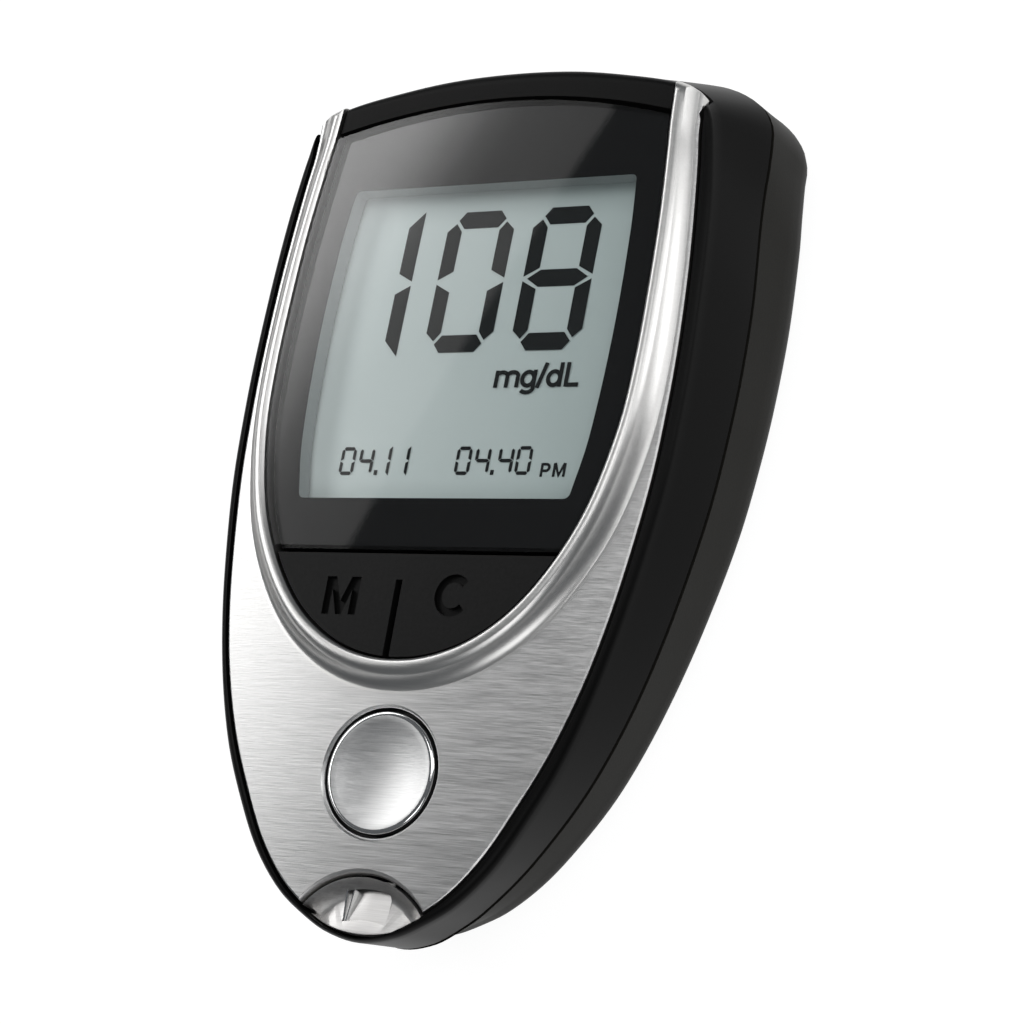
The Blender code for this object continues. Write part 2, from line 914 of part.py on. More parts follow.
def build_display_stack(dark, pale, rubber, green, frame):
    top = lens_recess + lens_thickness + 2 * gap
    low = window_low_y - frame_border
    high = window_high_y + frame_border
    holder = sheet("display_frame", window_width(frame_border), lambda a: low, lambda a: high,
                   level_below(top), level_below(top + frame_height), 4, 10, dark, frame)
    opening = sheet("window_opening", window_width(0.0), lambda a: window_low_y,
                    lambda a: window_high_y, lambda x, y: overrun,
                    level_below(2 * seam_drop), 4, 10, dark, frame)
    combine(holder, opening, "DIFFERENCE")
    glass_top = top + frame_height + gap
    glass = sheet("display_glass", window_width(glass_border),
                  lambda a: window_low_y - glass_border, lambda a: window_high_y + glass_border,
                  level_below(glass_top), level_below(glass_top + glass_thickness),
                  4, 10, pale, frame)
    strip_top = rim_level(window_low_y) - glass_top - glass_thickness - gap
    half = window_half_width * window_shares[0][1]
    strip = box("contact_strip", (-half, window_low_y - glass_border, board_level + gap),
                (half, window_low_y - glass_border + contact_strip_width, strip_top),
                rubber, frame)
    board = build_board(green, frame)
    return [holder, glass, strip, board]


def build_board(made, frame):
    """Circuit board: wide under the display, narrow down to the strip connector."""
    outline = (
        (board_half_width, board_high_y), (-board_half_width, board_high_y),
        (-board_half_width, board_step_y), (-board_tail_half_width, board_step_y),
        (-board_tail_half_width, board_low_y), (board_tail_half_width, board_low_y),
        (board_tail_half_width, board_step_y), (board_half_width, board_step_y),
    )
    rings = []
    for z in (board_level - board_thickness, board_level):
        rings.append([Vector((x, y, z)) for x, y in outline])
    return loft("main_board", rings, made, frame, cap_ends=True)


def build_key(made, frame):
    rule, low = width_table(key_clearance)
    item = sheet("mode_key", rule, lambda a: low, lambda a: key_joint_y - joint_gap,
                 level_below(key_recess), level_below(key_recess + key_thickness),
                 8, 16, made, frame)
    slit = box("key_slit", (-slit_width / 2, rim_tip_y - overrun, -overrun),
               (slit_width / 2, slit_top_y, overrun), made, frame)
    combine(item, slit, "DIFFERENCE")
    low_z = board_level + switch_height + 2 * switch_gap
    for side, name in ((-1, "left_post"), (1, "right_post")):
        post = turned(name, ((0.0, low_z), (post_radius, low_z),
                             (post_radius, -key_recess - key_thickness / 2),
                             (0.0, -key_recess - key_thickness / 2)),
                      made, frame, sides=small_sides, place=(side * post_x, post_y, 0.0))
        combine(item, post, "UNION")
    axis = bpy.data.objects.new("key_axis", None)
    bpy.context.collection.objects.link(axis)
    axis.parent = frame
    axis.location = (0.0, post_y, -key_pivot_drop)
    item.parent = axis
    item.location = (0.0, -post_y, key_pivot_drop)
    return item


def build_switch(name, x, y, made, frame):
    low = board_level + switch_gap
    profile = ((0.0, low), (switch_radius, low), (switch_radius, low + switch_base),
               (switch_dome_radius, low + switch_base), (switch_dome_radius, low + switch_height
                                                        - switch_gap / 2),
               (switch_dome_radius / 2, low + switch_height), (0.0, low + switch_height))
    return turned(name, profile, made, frame, sides=small_sides, place=(x, y, 0.0))


# Round button

def button_frame(frame):
    """Empty on the button's axis, square to the crowned face."""
    empty = bpy.data.objects.new("button_axis", None)
    bpy.context.collection.objects.link(empty)
    empty.parent = frame
    empty.location = (0.0, button_y, face_level(0.0, button_y))
    empty.rotation_euler = (math.atan(-button_y / crown_radius_length), 0.0, 0.0)
    return empty


def button_hole(name, made, frame):
    """Stepped cutter: the bevelled ring recess and the bore under it."""
    bore = button_radius + button_gap
    profile = ((0.0, -overrun), (bore, -overrun), (bore, -bezel_drop),
               (bore + bezel_width, pocket_over), (bore + bezel_width, overrun), (0.0, overrun))
    return turned(name, profile, made, button_frame(frame))


def build_button(made, frame):
    flange_top = -plate_thickness - gap
    flange = button_radius + button_gap + flange_reach
    flange_low = flange_top - flange_thickness
    empty = button_frame(frame)
    stem_low = (board_level + switch_gap + switch_height + button_travel + pocket_over
                - face_level(0.0, button_y))
    top = -button_recess
    profile = [(0.0, stem_low), (stem_radius, stem_low), (stem_radius, flange_low),
               (flange, flange_low), (flange, flange_top), (button_radius, flange_top),
               (button_radius, top - button_chamfer), (button_radius - button_chamfer, top),
               (button_dish_radius, top)]
    for share in (0.75, 0.5, 0.25, 0.0):
        profile.append((button_dish_radius * share, top - button_dish * (1 - share ** 2)))
    item = turned("main_button", profile, made, empty)
    return item


# Strip end

def tray_depth():
    return tray_drop + tray_thickness


def tray_body(name, grow, depth, raised, made, frame):
    """Tray in the scoop, as radial sections about the scoop's centre. Raised, it is a cutter."""
    side = [point for point in side_half(overrun)]
    sections = []
    steps = 16
    centre = Vector((0.0, scoop_y))
    outer = scoop_radius - gap + grow
    half_angle = scoop_half_angle + grow / (outer - tray_cove - gap)
    for i in range(steps + 1):
        turn = half_angle * (2 * i / steps - 1)
        way = Vector((math.sin(turn), math.cos(turn)))
        path = [Vector((abs_x(point, turn), point.y)) for point in side]
        edge = ray_hit(centre, way, path)
        edge = edge + gap - grow if edge is not None else outer
        edge = min(edge, outer - tray_cove - gap)
        section = []
        for radius, drop in tray_profile(outer, edge, depth, raised):
            at = centre + way * radius
            section.append(Vector((at.x, at.y, face_level(at.x, at.y) - drop)))
        sections.append(section)
    return strip_body(name, sections, made, frame)


def abs_x(point, turn):
    return point.x if turn >= 0 else -point.x


def tray_profile(outer, edge, depth, raised):
    """Radial section: edge, floor and cove up to the lip, or the cutter for its room."""
    if raised:
        return ((outer, -raised), (outer, depth), (edge + tray_edge_slope, depth),
                (edge, tray_edge_drop), (edge, -raised))
    profile = [(outer, depth), (edge + tray_edge_slope, depth), (edge, tray_edge_drop)]
    for share in (1.0, 0.62, 0.3, 0.1, 0.0):
        radius = outer - tray_cove * share
        profile.append((radius, tray_lip_drop + (tray_drop - tray_lip_drop)
                        * math.sin(math.pi / 2 * share)))
    return profile


def build_strip_end(silver, dark, brass, frame):
    tray = tray_body("strip_tray", 0.0, tray_depth(), 0.0, silver, frame)
    level = face_level(0.0, guide_inner_y)
    room = guide_half_width + gap
    combine(tray, box("guide_room", (-room, guide_outer_y - gap, level - 2 * tray_depth()),
                      (room, guide_inner_y + overrun, level - tray_lip_drop - plate_thickness),
                      silver, frame), "DIFFERENCE")
    guide = build_guide(silver, frame)
    shelf = level - connector_shelf_drop
    low = level - connector_depth + gap
    connector = box("strip_connector", (-connector_half_width, connector_front_y, low),
                    (connector_half_width, connector_step_y, level - plate_thickness - 2 * gap),
                    dark, frame)
    back = box("connector_back", (-connector_half_width, connector_step_y - gap, low),
               (connector_half_width, connector_back_y, shelf), dark, frame)
    combine(connector, back, "UNION")
    mouth = box("connector_mouth",
                (-strip_half_width, connector_front_y - overrun, level - guide_drop - gap),
                (strip_half_width, (connector_front_y + connector_step_y) / 2,
                 level - guide_drop + strip_slot), dark, frame)
    combine(connector, mouth, "DIFFERENCE")
    pieces = [tray, guide, connector]
    for i in range(3):
        x = pin_pitch * (i - 1)
        pieces.append(box("strip_pin_" + str(i + 1),
                          (x - pin_width / 2, connector_back_y + gap, board_level + gap),
                          (x + pin_width / 2, connector_back_y + gap + pin_length,
                           board_level + gap + pin_thickness), brass, frame))
    return pieces


def build_guide(made, frame):
    """Flat guide under the strip, rising to the tip, with two fins at its left edge."""
    inner = face_level(0.0, guide_inner_y) - guide_drop
    outer = inner + guide_rise
    low = inner - tray_thickness
    rings = []
    for x in (-guide_half_width, guide_half_width):
        rings.append([Vector((x, guide_outer_y, low)), Vector((x, guide_inner_y, low)),
                      Vector((x, guide_inner_y, inner)), Vector((x, guide_outer_y, outer))])
    item = loft("strip_guide", rings, made, frame, cap_ends=True)
    for number, lean in ((0, 0.0), (1, 1.0)):
        start = -guide_half_width + fin_thickness * (0.5 + 2.4 * number)
        end = -guide_half_width + fin_thickness * (0.5 + 1.1 * number)
        rings = []
        for y, x in ((guide_outer_y + gap, end), (fin_inner_y, start)):
            rings.append([Vector((x, y, low + gap)), Vector((x + fin_thickness, y, low + gap)),
                          Vector((x + fin_thickness, y, inner + fin_height * (1 - lean / 3))),
                          Vector((x, y, inner + fin_height * (1 - lean / 3)))])
        fin = loft("fin_" + str(number), rings, made, frame, cap_ends=True)
        combine(item, fin, "UNION")
    return item


# Battery bay, cells and cover

def bay_sizes():
    half = 2 * cell_radius + 1.5 * cell_clearance
    length = cell_length + cell_nub + 2 * contact_room
    return half, bay_centre_y - length / 2, bay_centre_y + length / 2


def cover_sizes():
    half, low, high = bay_sizes()
    return half + bay_ledge - cover_gap, low - bay_ledge + cover_gap, high + bay_ledge - cover_gap


def cell_height():
    return cover_recess + cover_thickness + 2 * cover_gap + cell_radius


def build_bay(housing, made):
    half, low, high = bay_sizes()
    roof = cell_height() + cell_radius + cell_clearance
    outer = half + bay_ledge + bay_wall
    block = rounded_prism("bay_block", outer, low - bay_ledge - bay_wall,
                          high + bay_ledge + bay_wall, wall / 2, roof + bay_roof, bay_wall,
                          made, None)
    combine(housing, block, "UNION")
    room = box("bay_room", (-half, low, -overrun), (half, high, roof), made, None)
    combine(housing, room, "DIFFERENCE")
    chalf, clow, chigh = cover_sizes()
    seat = rounded_prism("cover_seat", chalf + cover_gap, clow - cover_gap, chigh + cover_gap,
                         -overrun, cover_recess + cover_thickness + cover_gap,
                         cover_corner + cover_gap, made, None)
    combine(housing, seat, "DIFFERENCE")
    top = cover_recess + cover_thickness + cover_gap + hook_thickness
    reach = hook_reach + 2 * gap
    swing = math.hypot(reach, top + gap)
    notch = box("hook_notch", (-hook_half_width - gap, clow - reach, cover_recess + cover_gap
                               + cover_thickness - pocket_over),
                (hook_half_width + gap, low + gap, swing + gap), made, None)
    combine(housing, notch, "DIFFERENCE")


def build_cover(made):
    half, low, high = cover_sizes()
    item = rounded_prism("battery_cover", half, low, high, cover_recess,
                         cover_recess + cover_thickness, cover_corner, made, None)
    for side in (-1, 1):
        x = side * tongue_half_width
        slit = box("tongue_slit_" + ("left" if side < 0 else "right"),
                   (x - tongue_slit / 2, high - tongue_length, -overrun),
                   (x + tongue_slit / 2, high + overrun, overrun), made, None)
        combine(item, slit, "DIFFERENCE")
    for i in range(3):
        y = high - grip_pitch * (i + 1)
        groove = box("grip_" + str(i), (-tongue_half_width + tongue_slit, y - grip_width / 2,
                                        -overrun),
                     (tongue_half_width - tongue_slit, y + grip_width / 2,
                      cover_recess + grip_depth), made, None)
        combine(item, groove, "DIFFERENCE")
    top = cover_recess + cover_thickness + cover_gap + hook_thickness
    riser = box("hook", (-hook_half_width, low - hook_reach, top - hook_thickness + gap),
                (hook_half_width, low + bay_ledge - gap, top), made, None)
    foot = box("hook_foot", (-hook_half_width, low + gap, cover_recess + cover_thickness / 2),
               (hook_half_width, low + bay_ledge - gap, top - gap / 2), made, None)
    combine(item, foot, "UNION")
    combine(item, riser, "UNION")
    hinge = bpy.data.objects.new("cover_hinge", None)
    bpy.context.collection.objects.link(hinge)
    hinge.location = (0.0, low, cover_recess)
    item.parent = hinge
    item.location = (0.0, -low, -cover_recess)
    return item


def build_cells(shell, brass):
    half, low, high = bay_sizes()
    pieces = []
    z = cell_height()
    x = cell_radius + cell_clearance / 2
    for number, side in ((1, -1), (2, 1)):
        rim = cell_clearance
        profile = ((0.0, 0.0), (cell_radius - rim, 0.0), (cell_radius, rim),
                   (cell_radius, cell_length - rim), (cell_radius - rim, cell_length),
                   (cell_nub_radius, cell_length), (cell_nub_radius, cell_length + cell_nub),
                   (0.0, cell_length + cell_nub))
        cell = turned("cell_" + str(number), profile, shell, None, sides=24)
        cell.rotation_euler = (-side * math.pi / 2, 0.0, 0.0)
        start = low + contact_room if side > 0 else high - contact_room
        cell.location = (side * x, start, z)
        pieces.append(cell)
    for name, centre, half_width, at_low in (
        ("contact_pair", 0.0, x + contact_half_width / 2, False),
        ("contact_left", -x, contact_half_width, True),
        ("contact_right", x, contact_half_width, True),
    ):
        if at_low:
            near, far = low + gap, low + gap + contact_thickness
        else:
            near, far = high - gap - contact_thickness, high - gap
        bottom = z - contact_height / 2
        pieces.append(box(name, (centre - half_width, near, bottom),
                          (centre + half_width, far, bottom + contact_height), brass, None))
    return pieces


# Screws

def screw_places():
    return ((upper_screw_x, upper_screw_y), (-upper_screw_x, upper_screw_y),
            (lower_screw_x, lower_screw_y), (-lower_screw_x, lower_screw_y))


def face_height(y):
    """Height above the back of a level of the face frame, near y of the scene."""
    tip = math.atan(back_wedge_share)
    return back_depth * math.cos(tip) + (y - datum_y) * math.sin(tip)


def build_bosses(rear, front, dark):
    """Bosses in the rear housing and posts under the front deck, bored for the screws."""
    seat = screw_recess + screw_head_height
    bore = screw_shank_radius + gap
    head = screw_head_radius + gap
    boss = head + boss_wall
    post = bore + boss_wall
    bosses = []
    holes = []
    posts = []
    pilots = []
    for x, y in screw_places():
        bosses.append((((0.0, wall / 2), (boss, wall / 2), (boss, seat + wall),
                        (0.0, seat + wall)), (x, y)))
        holes.append((((0.0, -overrun), (head, -overrun), (head, seat), (bore, seat),
                       (bore, seat + overrun), (0.0, seat + overrun)), (x, y)))
        low = seat + wall + boss_gap
        top = face_height(y) + face_level(x, y - datum_y)
        top -= plate_thickness + gap + deck_thickness / 2
        posts.append((((0.0, low), (post, low), (post, top), (0.0, top)), (x, y)))
        deep = seat + screw_reach + gap
        pilots.append((((0.0, -overrun), (bore, -overrun), (bore, deep), (0.0, deep)), (x, y)))
    combine(rear, turned_set("bosses", bosses, small_sides, dark, None), "UNION")
    combine(rear, turned_set("screw_holes", holes, small_sides, dark, None, 0.0),
            "DIFFERENCE")
    combine(front, turned_set("posts", posts, small_sides, dark, None), "UNION")
    combine(front, turned_set("pilot_holes", pilots, small_sides, dark, None, 0.0),
            "DIFFERENCE")


def build_screws(steel):
    pieces = []
    seat = screw_recess + screw_head_height
    low = seat - screw_head_height - gap
    top = seat + screw_reach
    profile = ((0.0, low), (screw_head_radius, low), (screw_head_radius, seat - gap),
               (screw_shank_radius, seat - gap), (screw_shank_radius, top - screw_shank_radius),
               (0.0, top))
    long = screw_head_radius - 2 * gap
    for number, (x, y) in enumerate(screw_places(), 1):
        screw = turned("screw_" + str(number), profile, steel, None, sides=small_sides,
                       place=(x, y, 0.0))
        outline = []
        for i in range(4):
            way = Vector((math.cos(math.pi / 2 * i), math.sin(math.pi / 2 * i)))
            side = Vector((-way.y, way.x))
            outline.append(way * long - side * cross_width / 2)
            outline.append(way * long + side * cross_width / 2)
            outline.append((way + side) * cross_width / 2)
        rings = []
        for z in (-overrun, low + cross_depth):
            rings.append([Vector((point.x, point.y, z)) for point in outline])
        cross = loft("cross_" + str(number), rings, steel, screw, cap_ends=True)
        combine(screw, cross, "DIFFERENCE")
        pieces.append(screw)
    return pieces


def build_board_parts(dark, brass, frame):
    under = board_level - board_thickness - gap
    chip = box("processor", (chip_x - chip_size / 2, chip_y - chip_size / 2, under - chip_height),
               (chip_x + chip_size / 2, chip_y + chip_size / 2, under), dark, frame)
    profile = ((0.0, under - buzzer_height), (buzzer_radius - gap, under - buzzer_height),
               (buzzer_radius, under - buzzer_height + gap), (buzzer_radius, under), (0.0, under))
    buzzer = turned("buzzer", profile, brass, frame, sides=24, place=(buzzer_x, buzzer_y, 0.0))
    return [chip, buzzer]


def main():
    clear_scene()
    black = material("Soft_touch_black", (0.012, 0.012, 0.013), 0.42)
    silver = material("Brushed_aluminium", (0.62, 0.62, 0.61), 0.30, 1.0)
    gloss = material("Lens_gloss", (0.01, 0.01, 0.01), 0.05, 0.0, 0.35)
    dark = material("Frame_black", (0.02, 0.02, 0.02), 0.5)
    pale = material("Display_grey", (0.48, 0.54, 0.52), 0.3)
    rubber = material("Key_rubber", (0.015, 0.015, 0.016), 0.5)
    green = material("Board_green", (0.02, 0.16, 0.07), 0.45)
    cap = material("Button_metal", (0.68, 0.68, 0.67), 0.25, 1.0)
    brass = material("Contact_metal", (0.75, 0.68, 0.5), 0.3, 1.0)
    steel = material("Screw_steel", (0.5, 0.5, 0.5), 0.35, 1.0)
    cell = material("Cell_jacket", (0.35, 0.36, 0.38), 0.4, 0.5)

    frame = bpy.data.objects.new("face_frame", None)
    bpy.context.collection.objects.link(frame)
    tip = math.atan(back_wedge_share)
    frame.rotation_euler = (tip, 0.0, 0.0)
    frame.location = (0.0, datum_y, back_depth * math.cos(tip))

    front = build_front_housing(black, frame)
    rear = build_rear_housing(black, frame)
    build_bosses(rear, front, black)
    cut_face(front, black, frame)
    plate = build_face_plate(silver, frame)
    lens = build_lens(gloss, frame)
    stack = build_display_stack(dark, pale, rubber, green, frame)
    key = build_key(rubber, frame)
    switches = [build_switch("switch_left", -post_x, post_y, dark, frame),
                build_switch("switch_right", post_x, post_y, dark, frame),
                build_switch("switch_main", 0.0, button_y, dark, frame)]
    button = build_button(cap, frame)
    strip_end = build_strip_end(silver, dark, brass, frame)
    build_bay(rear, black)
    cover = build_cover(black)
    cells = build_cells(cell, brass)
    screws = build_screws(steel)
    parts = build_board_parts(dark, brass, frame)
    for item in [front, rear, plate, lens, key, button, cover] + stack + switches + strip_end:
        smooth(item)
    for item in cells + screws + parts:
        smooth(item)


main()
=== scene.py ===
# %% [markdown]
# # Dressing a blood glucose meter
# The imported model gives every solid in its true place. This file dresses it: the smooth case,
# the brushed face, the lens with its display, the keys and the studio around them.

# %% Load the frame
import math

import bmesh
import bpy
import mathutils
from mathutils import Matrix, Vector


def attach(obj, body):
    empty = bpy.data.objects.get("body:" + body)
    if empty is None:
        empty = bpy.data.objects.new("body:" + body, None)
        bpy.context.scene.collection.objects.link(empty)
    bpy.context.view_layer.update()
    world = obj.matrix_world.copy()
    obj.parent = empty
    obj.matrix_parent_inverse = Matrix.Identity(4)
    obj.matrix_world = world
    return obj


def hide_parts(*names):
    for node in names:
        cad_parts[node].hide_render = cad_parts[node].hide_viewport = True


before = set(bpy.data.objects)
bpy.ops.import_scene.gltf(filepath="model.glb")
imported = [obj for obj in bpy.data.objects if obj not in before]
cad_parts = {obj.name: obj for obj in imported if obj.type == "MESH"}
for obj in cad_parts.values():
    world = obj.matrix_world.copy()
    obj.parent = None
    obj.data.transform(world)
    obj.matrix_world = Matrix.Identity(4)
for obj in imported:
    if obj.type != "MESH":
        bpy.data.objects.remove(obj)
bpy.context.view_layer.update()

# %% [markdown]
# The front of the meter is tipped a little against its flat back. All front pieces are worked
# out in face coordinates, with Z = 0 on top of the display rim, and then carried to their place.
# Lengths are in metres. CLEAR is how far cutters and curves run on past the shapes they meet.

# %% Face coordinates
BACK_DEPTH = 0.0225
BACK_SLOPE = 0.043
TIP = math.atan(BACK_SLOPE)
FACE = Matrix.Translation((0, -0.01166, BACK_DEPTH * math.cos(TIP))) @ Matrix.Rotation(TIP, 4, "X")
BUTTON_Y = -0.02295
GAP = 0.0003
WALL = 0.0017
HALF_WIDTH = 0.0267
TIP_Y = -0.04
FACE_RUN = 0.096
TOP_Y = 0.056
RIM_HALF = 0.0227
RIM_LOW = -0.01124
RIM_RUN = 0.06584
CROWN = 0.431
CLEAR = 0.004


def face_level(x, y):
    """Crowned face: it drops away to the sides, and towards the tip."""
    return -(0.00142 + x * x / 0.625 + min(y, 0.0) ** 2 / 0.862)


def rim_level(y):
    return -y * y / 2.288


# %% [markdown]
# The outline is a table of a few measured shares of the half width and length. A smooth curve
# through them gives as many points as a piece needs.

# %% Tables and smooth curves
OUTLINE = (
    (0.0, 0.0), (0.1461, 0.0083), (0.2584, 0.025), (0.3801, 0.05), (0.5094, 0.0917),
    (0.6217, 0.1448), (0.7341, 0.2073), (0.8296, 0.2802), (0.8959, 0.3542), (0.9464, 0.4375),
    (0.982, 0.5208), (0.997, 0.6042), (1.0, 0.6667), (0.9925, 0.75), (0.9757, 0.8229),
    (0.9551, 0.8875), (0.9382, 0.9292), (0.9157, 0.9521), (0.8483, 0.9682), (0.7715, 0.9771),
    (0.5805, 0.987), (0.2996, 0.9969), (0.0, 1.0),
)
RIM = (
    (0.0, 0.0), (0.1335, 0.0036), (0.27, 0.0158), (0.404, 0.0371), (0.544, 0.072),
    (0.6665, 0.1176), (0.7819, 0.1783), (0.8744, 0.2467), (0.9374, 0.3226), (0.9833, 0.4137),
    (1.0, 0.52), (1.0, 0.6264), (0.9912, 0.7479), (0.967, 0.8694), (0.9515, 0.9301),
    (0.9427, 1.0),
)
STATIONS = (0.0, 0.0625, 0.1667, 0.3125, 0.5208, 0.7292, 0.8542, 0.9375, 0.9583, 1.0)
SHOULDER = (0.242, 0.576, 0.727, 0.576, 0.697, 0.697, 0.758, 0.576, 0.515, 1.030)
SEAM_FLARE = (-0.140, -0.070, 0.221, 0.435, 0.698, 0.814, 0.837, 1.023, 1.140, 0.977)
SEAM_DROP = (1.175, 1.040, 1.000, 0.970, 0.955, 1.030, 1.056, 1.077, 1.083, 1.087)
BACK_FLARE = (-0.511, -0.262, 0.043, 0.223, 0.564, 0.809, 0.894, 0.936, 1.160, 1.426)


def read_table(stations, values, at):
    """Smooth value of a table, held beyond its ends."""
    at = min(max(at, stations[0]), stations[-1])
    last = len(stations) - 1
    grades = []
    for i in range(last + 1):
        a, b = max(i - 1, 0), min(i + 1, last)
        grades.append((values[b] - values[a]) / (stations[b] - stations[a]))
    for i in range(last):
        if at <= stations[i + 1]:
            span = stations[i + 1] - stations[i]
            s = (at - stations[i]) / span
            return (values[i] * (2 * s**3 - 3 * s**2 + 1) + values[i + 1] * (3 * s**2 - 2 * s**3)
                    + span * grades[i] * (s**3 - 2 * s**2 + s)
                    + span * grades[i + 1] * (s**3 - s**2))
    return values[-1]


def curve_through(knots, count, mirror_end):
    """Even points through knots that start square on the centre line."""
    path = [Vector(k) for k in knots]
    path.insert(0, Vector((-path[1].x, path[1].y)))
    if mirror_end:
        path.append(Vector((-path[-2].x, path[-2].y)))
    lengths = [0.0]
    for a, b in zip(path, path[1:]):
        lengths.append(lengths[-1] + (b - a).length)
    end = lengths[-2 if mirror_end else -1]
    xs, ys = [p.x for p in path], [p.y for p in path]
    points = []
    for i in range(count + 1):
        at = lengths[1] + (end - lengths[1]) * i / count
        points.append(Vector((read_table(lengths, xs, at), read_table(lengths, ys, at))))
    points[0].x = 0.0
    if mirror_end:
        points[-1].x = 0.0
    return points


def normals_of(points):
    found = [Vector((0.0, -1.0))]
    for i in range(1, len(points)):
        way = points[min(i + 1, len(points) - 1)] - points[i - 1]
        found.append(Vector((way.y, -way.x)).normalized())
    return found


def by_station(size, shares, y):
    return size * read_table([TIP_Y + FACE_RUN * s for s in STATIONS], shares, y)


DENSE = curve_through([(x * HALF_WIDTH, TIP_Y + FACE_RUN * y) for x, y in OUTLINE], 640, True)
DENSE_NORMALS = normals_of(DENSE)
DENSE_NORMALS[-1] = Vector((0.0, 1.0))


def even_picks(gone, count):
    """Places in a growing list of lengths that part it into even steps."""
    picks, k = [], 0
    for i in range(count + 1):
        goal = gone[-1] * i / count
        while k < len(gone) - 1 and gone[k] < goal - 1e-9:
            k += 1
        picks.append(k)
    return picks


def mirrored(rows):
    """The same rows of (point, normal, more) on the other side, in reverse order."""
    return [(Vector((-p.x, p.y)), Vector((-n.x, n.y)), *more) for p, n, *more in reversed(rows)]


def outline_loop(count=110):
    """Points and normals all round the face outline, closer together in its bends."""
    weights = [0.0]
    for i in range(1, len(DENSE)):
        turn = DENSE_NORMALS[i].angle(DENSE_NORMALS[i - 1])
        weights.append(weights[-1] + (DENSE[i] - DENSE[i - 1]).length + BEND_WEIGHT * turn)
    right = [(DENSE[k], DENSE_NORMALS[k]) for k in even_picks(weights, count)]
    return right + mirrored(right[1:-1])


BEND_WEIGHT = 0.007
LOOP = outline_loop()
print("outline points", len(LOOP))

# %% [markdown]
# Sculpted forms such as the case are skinned: rings of points, one inside the other, are joined
# by faces. It is what a bridge between edge loops does, and it keeps the flow of faces even.

# %% Skin through rings
SAME_PLACE = 0.000002


def flat_piece(name, bm, material):
    """Turns a worked mesh into a piece in its place, with flat faces."""
    bmesh.ops.recalc_face_normals(bm, faces=bm.faces)
    mesh = bpy.data.meshes.new(name)
    bm.to_mesh(mesh)
    bm.free()
    piece = bpy.data.objects.new(name, mesh)
    bpy.context.scene.collection.objects.link(piece)
    for made in material if isinstance(material, (list, tuple)) else [material]:
        mesh.materials.append(made)
    return piece


def new_piece(name, bm, material, flat=30):
    """The same, cleaned, and smooth except at edges sharper than flat."""
    bmesh.ops.remove_doubles(bm, verts=bm.verts, dist=SAME_PLACE)
    bmesh.ops.dissolve_degenerate(bm, edges=bm.edges, dist=SAME_PLACE)
    piece = flat_piece(name, bm, material)
    piece.data.shade_smooth()
    piece.data.set_sharp_from_angle(angle=math.radians(flat))
    return piece


def skin(name, rings, material, caps=False, place=FACE, slots=None, flat=30):
    """Joins closed rings of points in order; caps closes the first and the last."""
    bm = bmesh.new()
    rows = [[bm.verts.new(place @ Vector(p)) for p in ring] for ring in rings]
    count = len(rows[0])
    for low, high in zip(rows, rows[1:]):
        for i in range(count):
            j = (i + 1) % count
            made = bm.faces.new((low[i], low[j], high[j], high[i]))
            if slots:
                made.material_index = slots[i % len(slots)]
    if caps:
        bm.faces.new(list(reversed(rows[0])))
        bm.faces.new(rows[-1])
    return new_piece(name, bm, material, flat)


def ring_at(offset_of, level_of):
    ring = []
    for point, normal in LOOP:
        at = point + normal * offset_of(point.x, point.y, normal)
        ring.append((at.x, at.y, level_of(point.x, point.y, at)))
    return ring


def smooth_step(v):
    s = min(max(v, 0.0), 1.0)
    return s * s * (3 - 2 * s)


SPINE_LOW, SPINE_HIGH = -0.027, 0.043


def draw_in(ring, level_of, shares):
    """Rings that draw in from a ring to the spine of the body."""
    made = []
    for share in shares:
        row = []
        for x, y, z in ring:
            spine = min(max(y, SPINE_LOW), SPINE_HIGH)
            nx, ny = x * (1 - share), y + (spine - y) * share
            ease = smooth_step(share / shares[0])
            row.append((nx, ny, z * (1 - ease) + level_of(nx, ny) * ease))
        made.append(row)
    return made


def apply_to(piece, modifier):
    bpy.context.view_layer.objects.active = piece
    with bpy.context.temp_override(object=piece, active_object=piece, selected_objects=[piece]):
        bpy.ops.object.modifier_apply(modifier=modifier.name)


def cut(piece, cutter, operation="DIFFERENCE"):
    """Boolean with a cutter that is thrown away afterwards."""
    modifier = piece.modifiers.new("cut", "BOOLEAN")
    modifier.operation = operation
    modifier.solver = "EXACT"
    modifier.material_mode = "TRANSFER"
    modifier.object = cutter
    apply_to(piece, modifier)
    piece.data.set_sharp_from_angle(angle=math.radians(30))
    bpy.data.objects.remove(cutter)


def lathe(name, profile, material, place, sides, flat=30):
    """Spins a profile of (radius, height) about the local Z axis."""
    rings = []
    for r, z in profile:
        rings.append([(r * math.cos(math.tau * (i + 0.5) / sides),
                       r * math.sin(math.tau * (i + 0.5) / sides), z) for i in range(sides)])
    return skin(name, rings, material, False, place, flat=flat)


# %% [markdown]
# Materials come next. Shared effects are node groups: a fine moulded grain for the black parts
# and brush lines that run across the metal.

# %% Node helpers


def new_material(name, colour, roughness, metallic=0.0, **sockets):
    made = bpy.data.materials.new(name)
    made.use_nodes = True
    shader = made.node_tree.nodes["Principled BSDF"]
    shader.inputs["Base Color"].default_value = (*colour, 1.0)
    shader.inputs["Roughness"].default_value = roughness
    shader.inputs["Metallic"].default_value = metallic
    for socket, value in sockets.items():
        shader.inputs[socket.replace("_", " ")].default_value = value
    return made, made.node_tree, shader


def math_node(tree, operation, a, b):
    node = tree.nodes.new("ShaderNodeMath")
    node.operation = operation
    for socket, value in zip(node.inputs, (a, b)):
        if isinstance(value, (int, float)):
            socket.default_value = value
        else:
            tree.links.new(value, socket)
    return node.outputs[0]


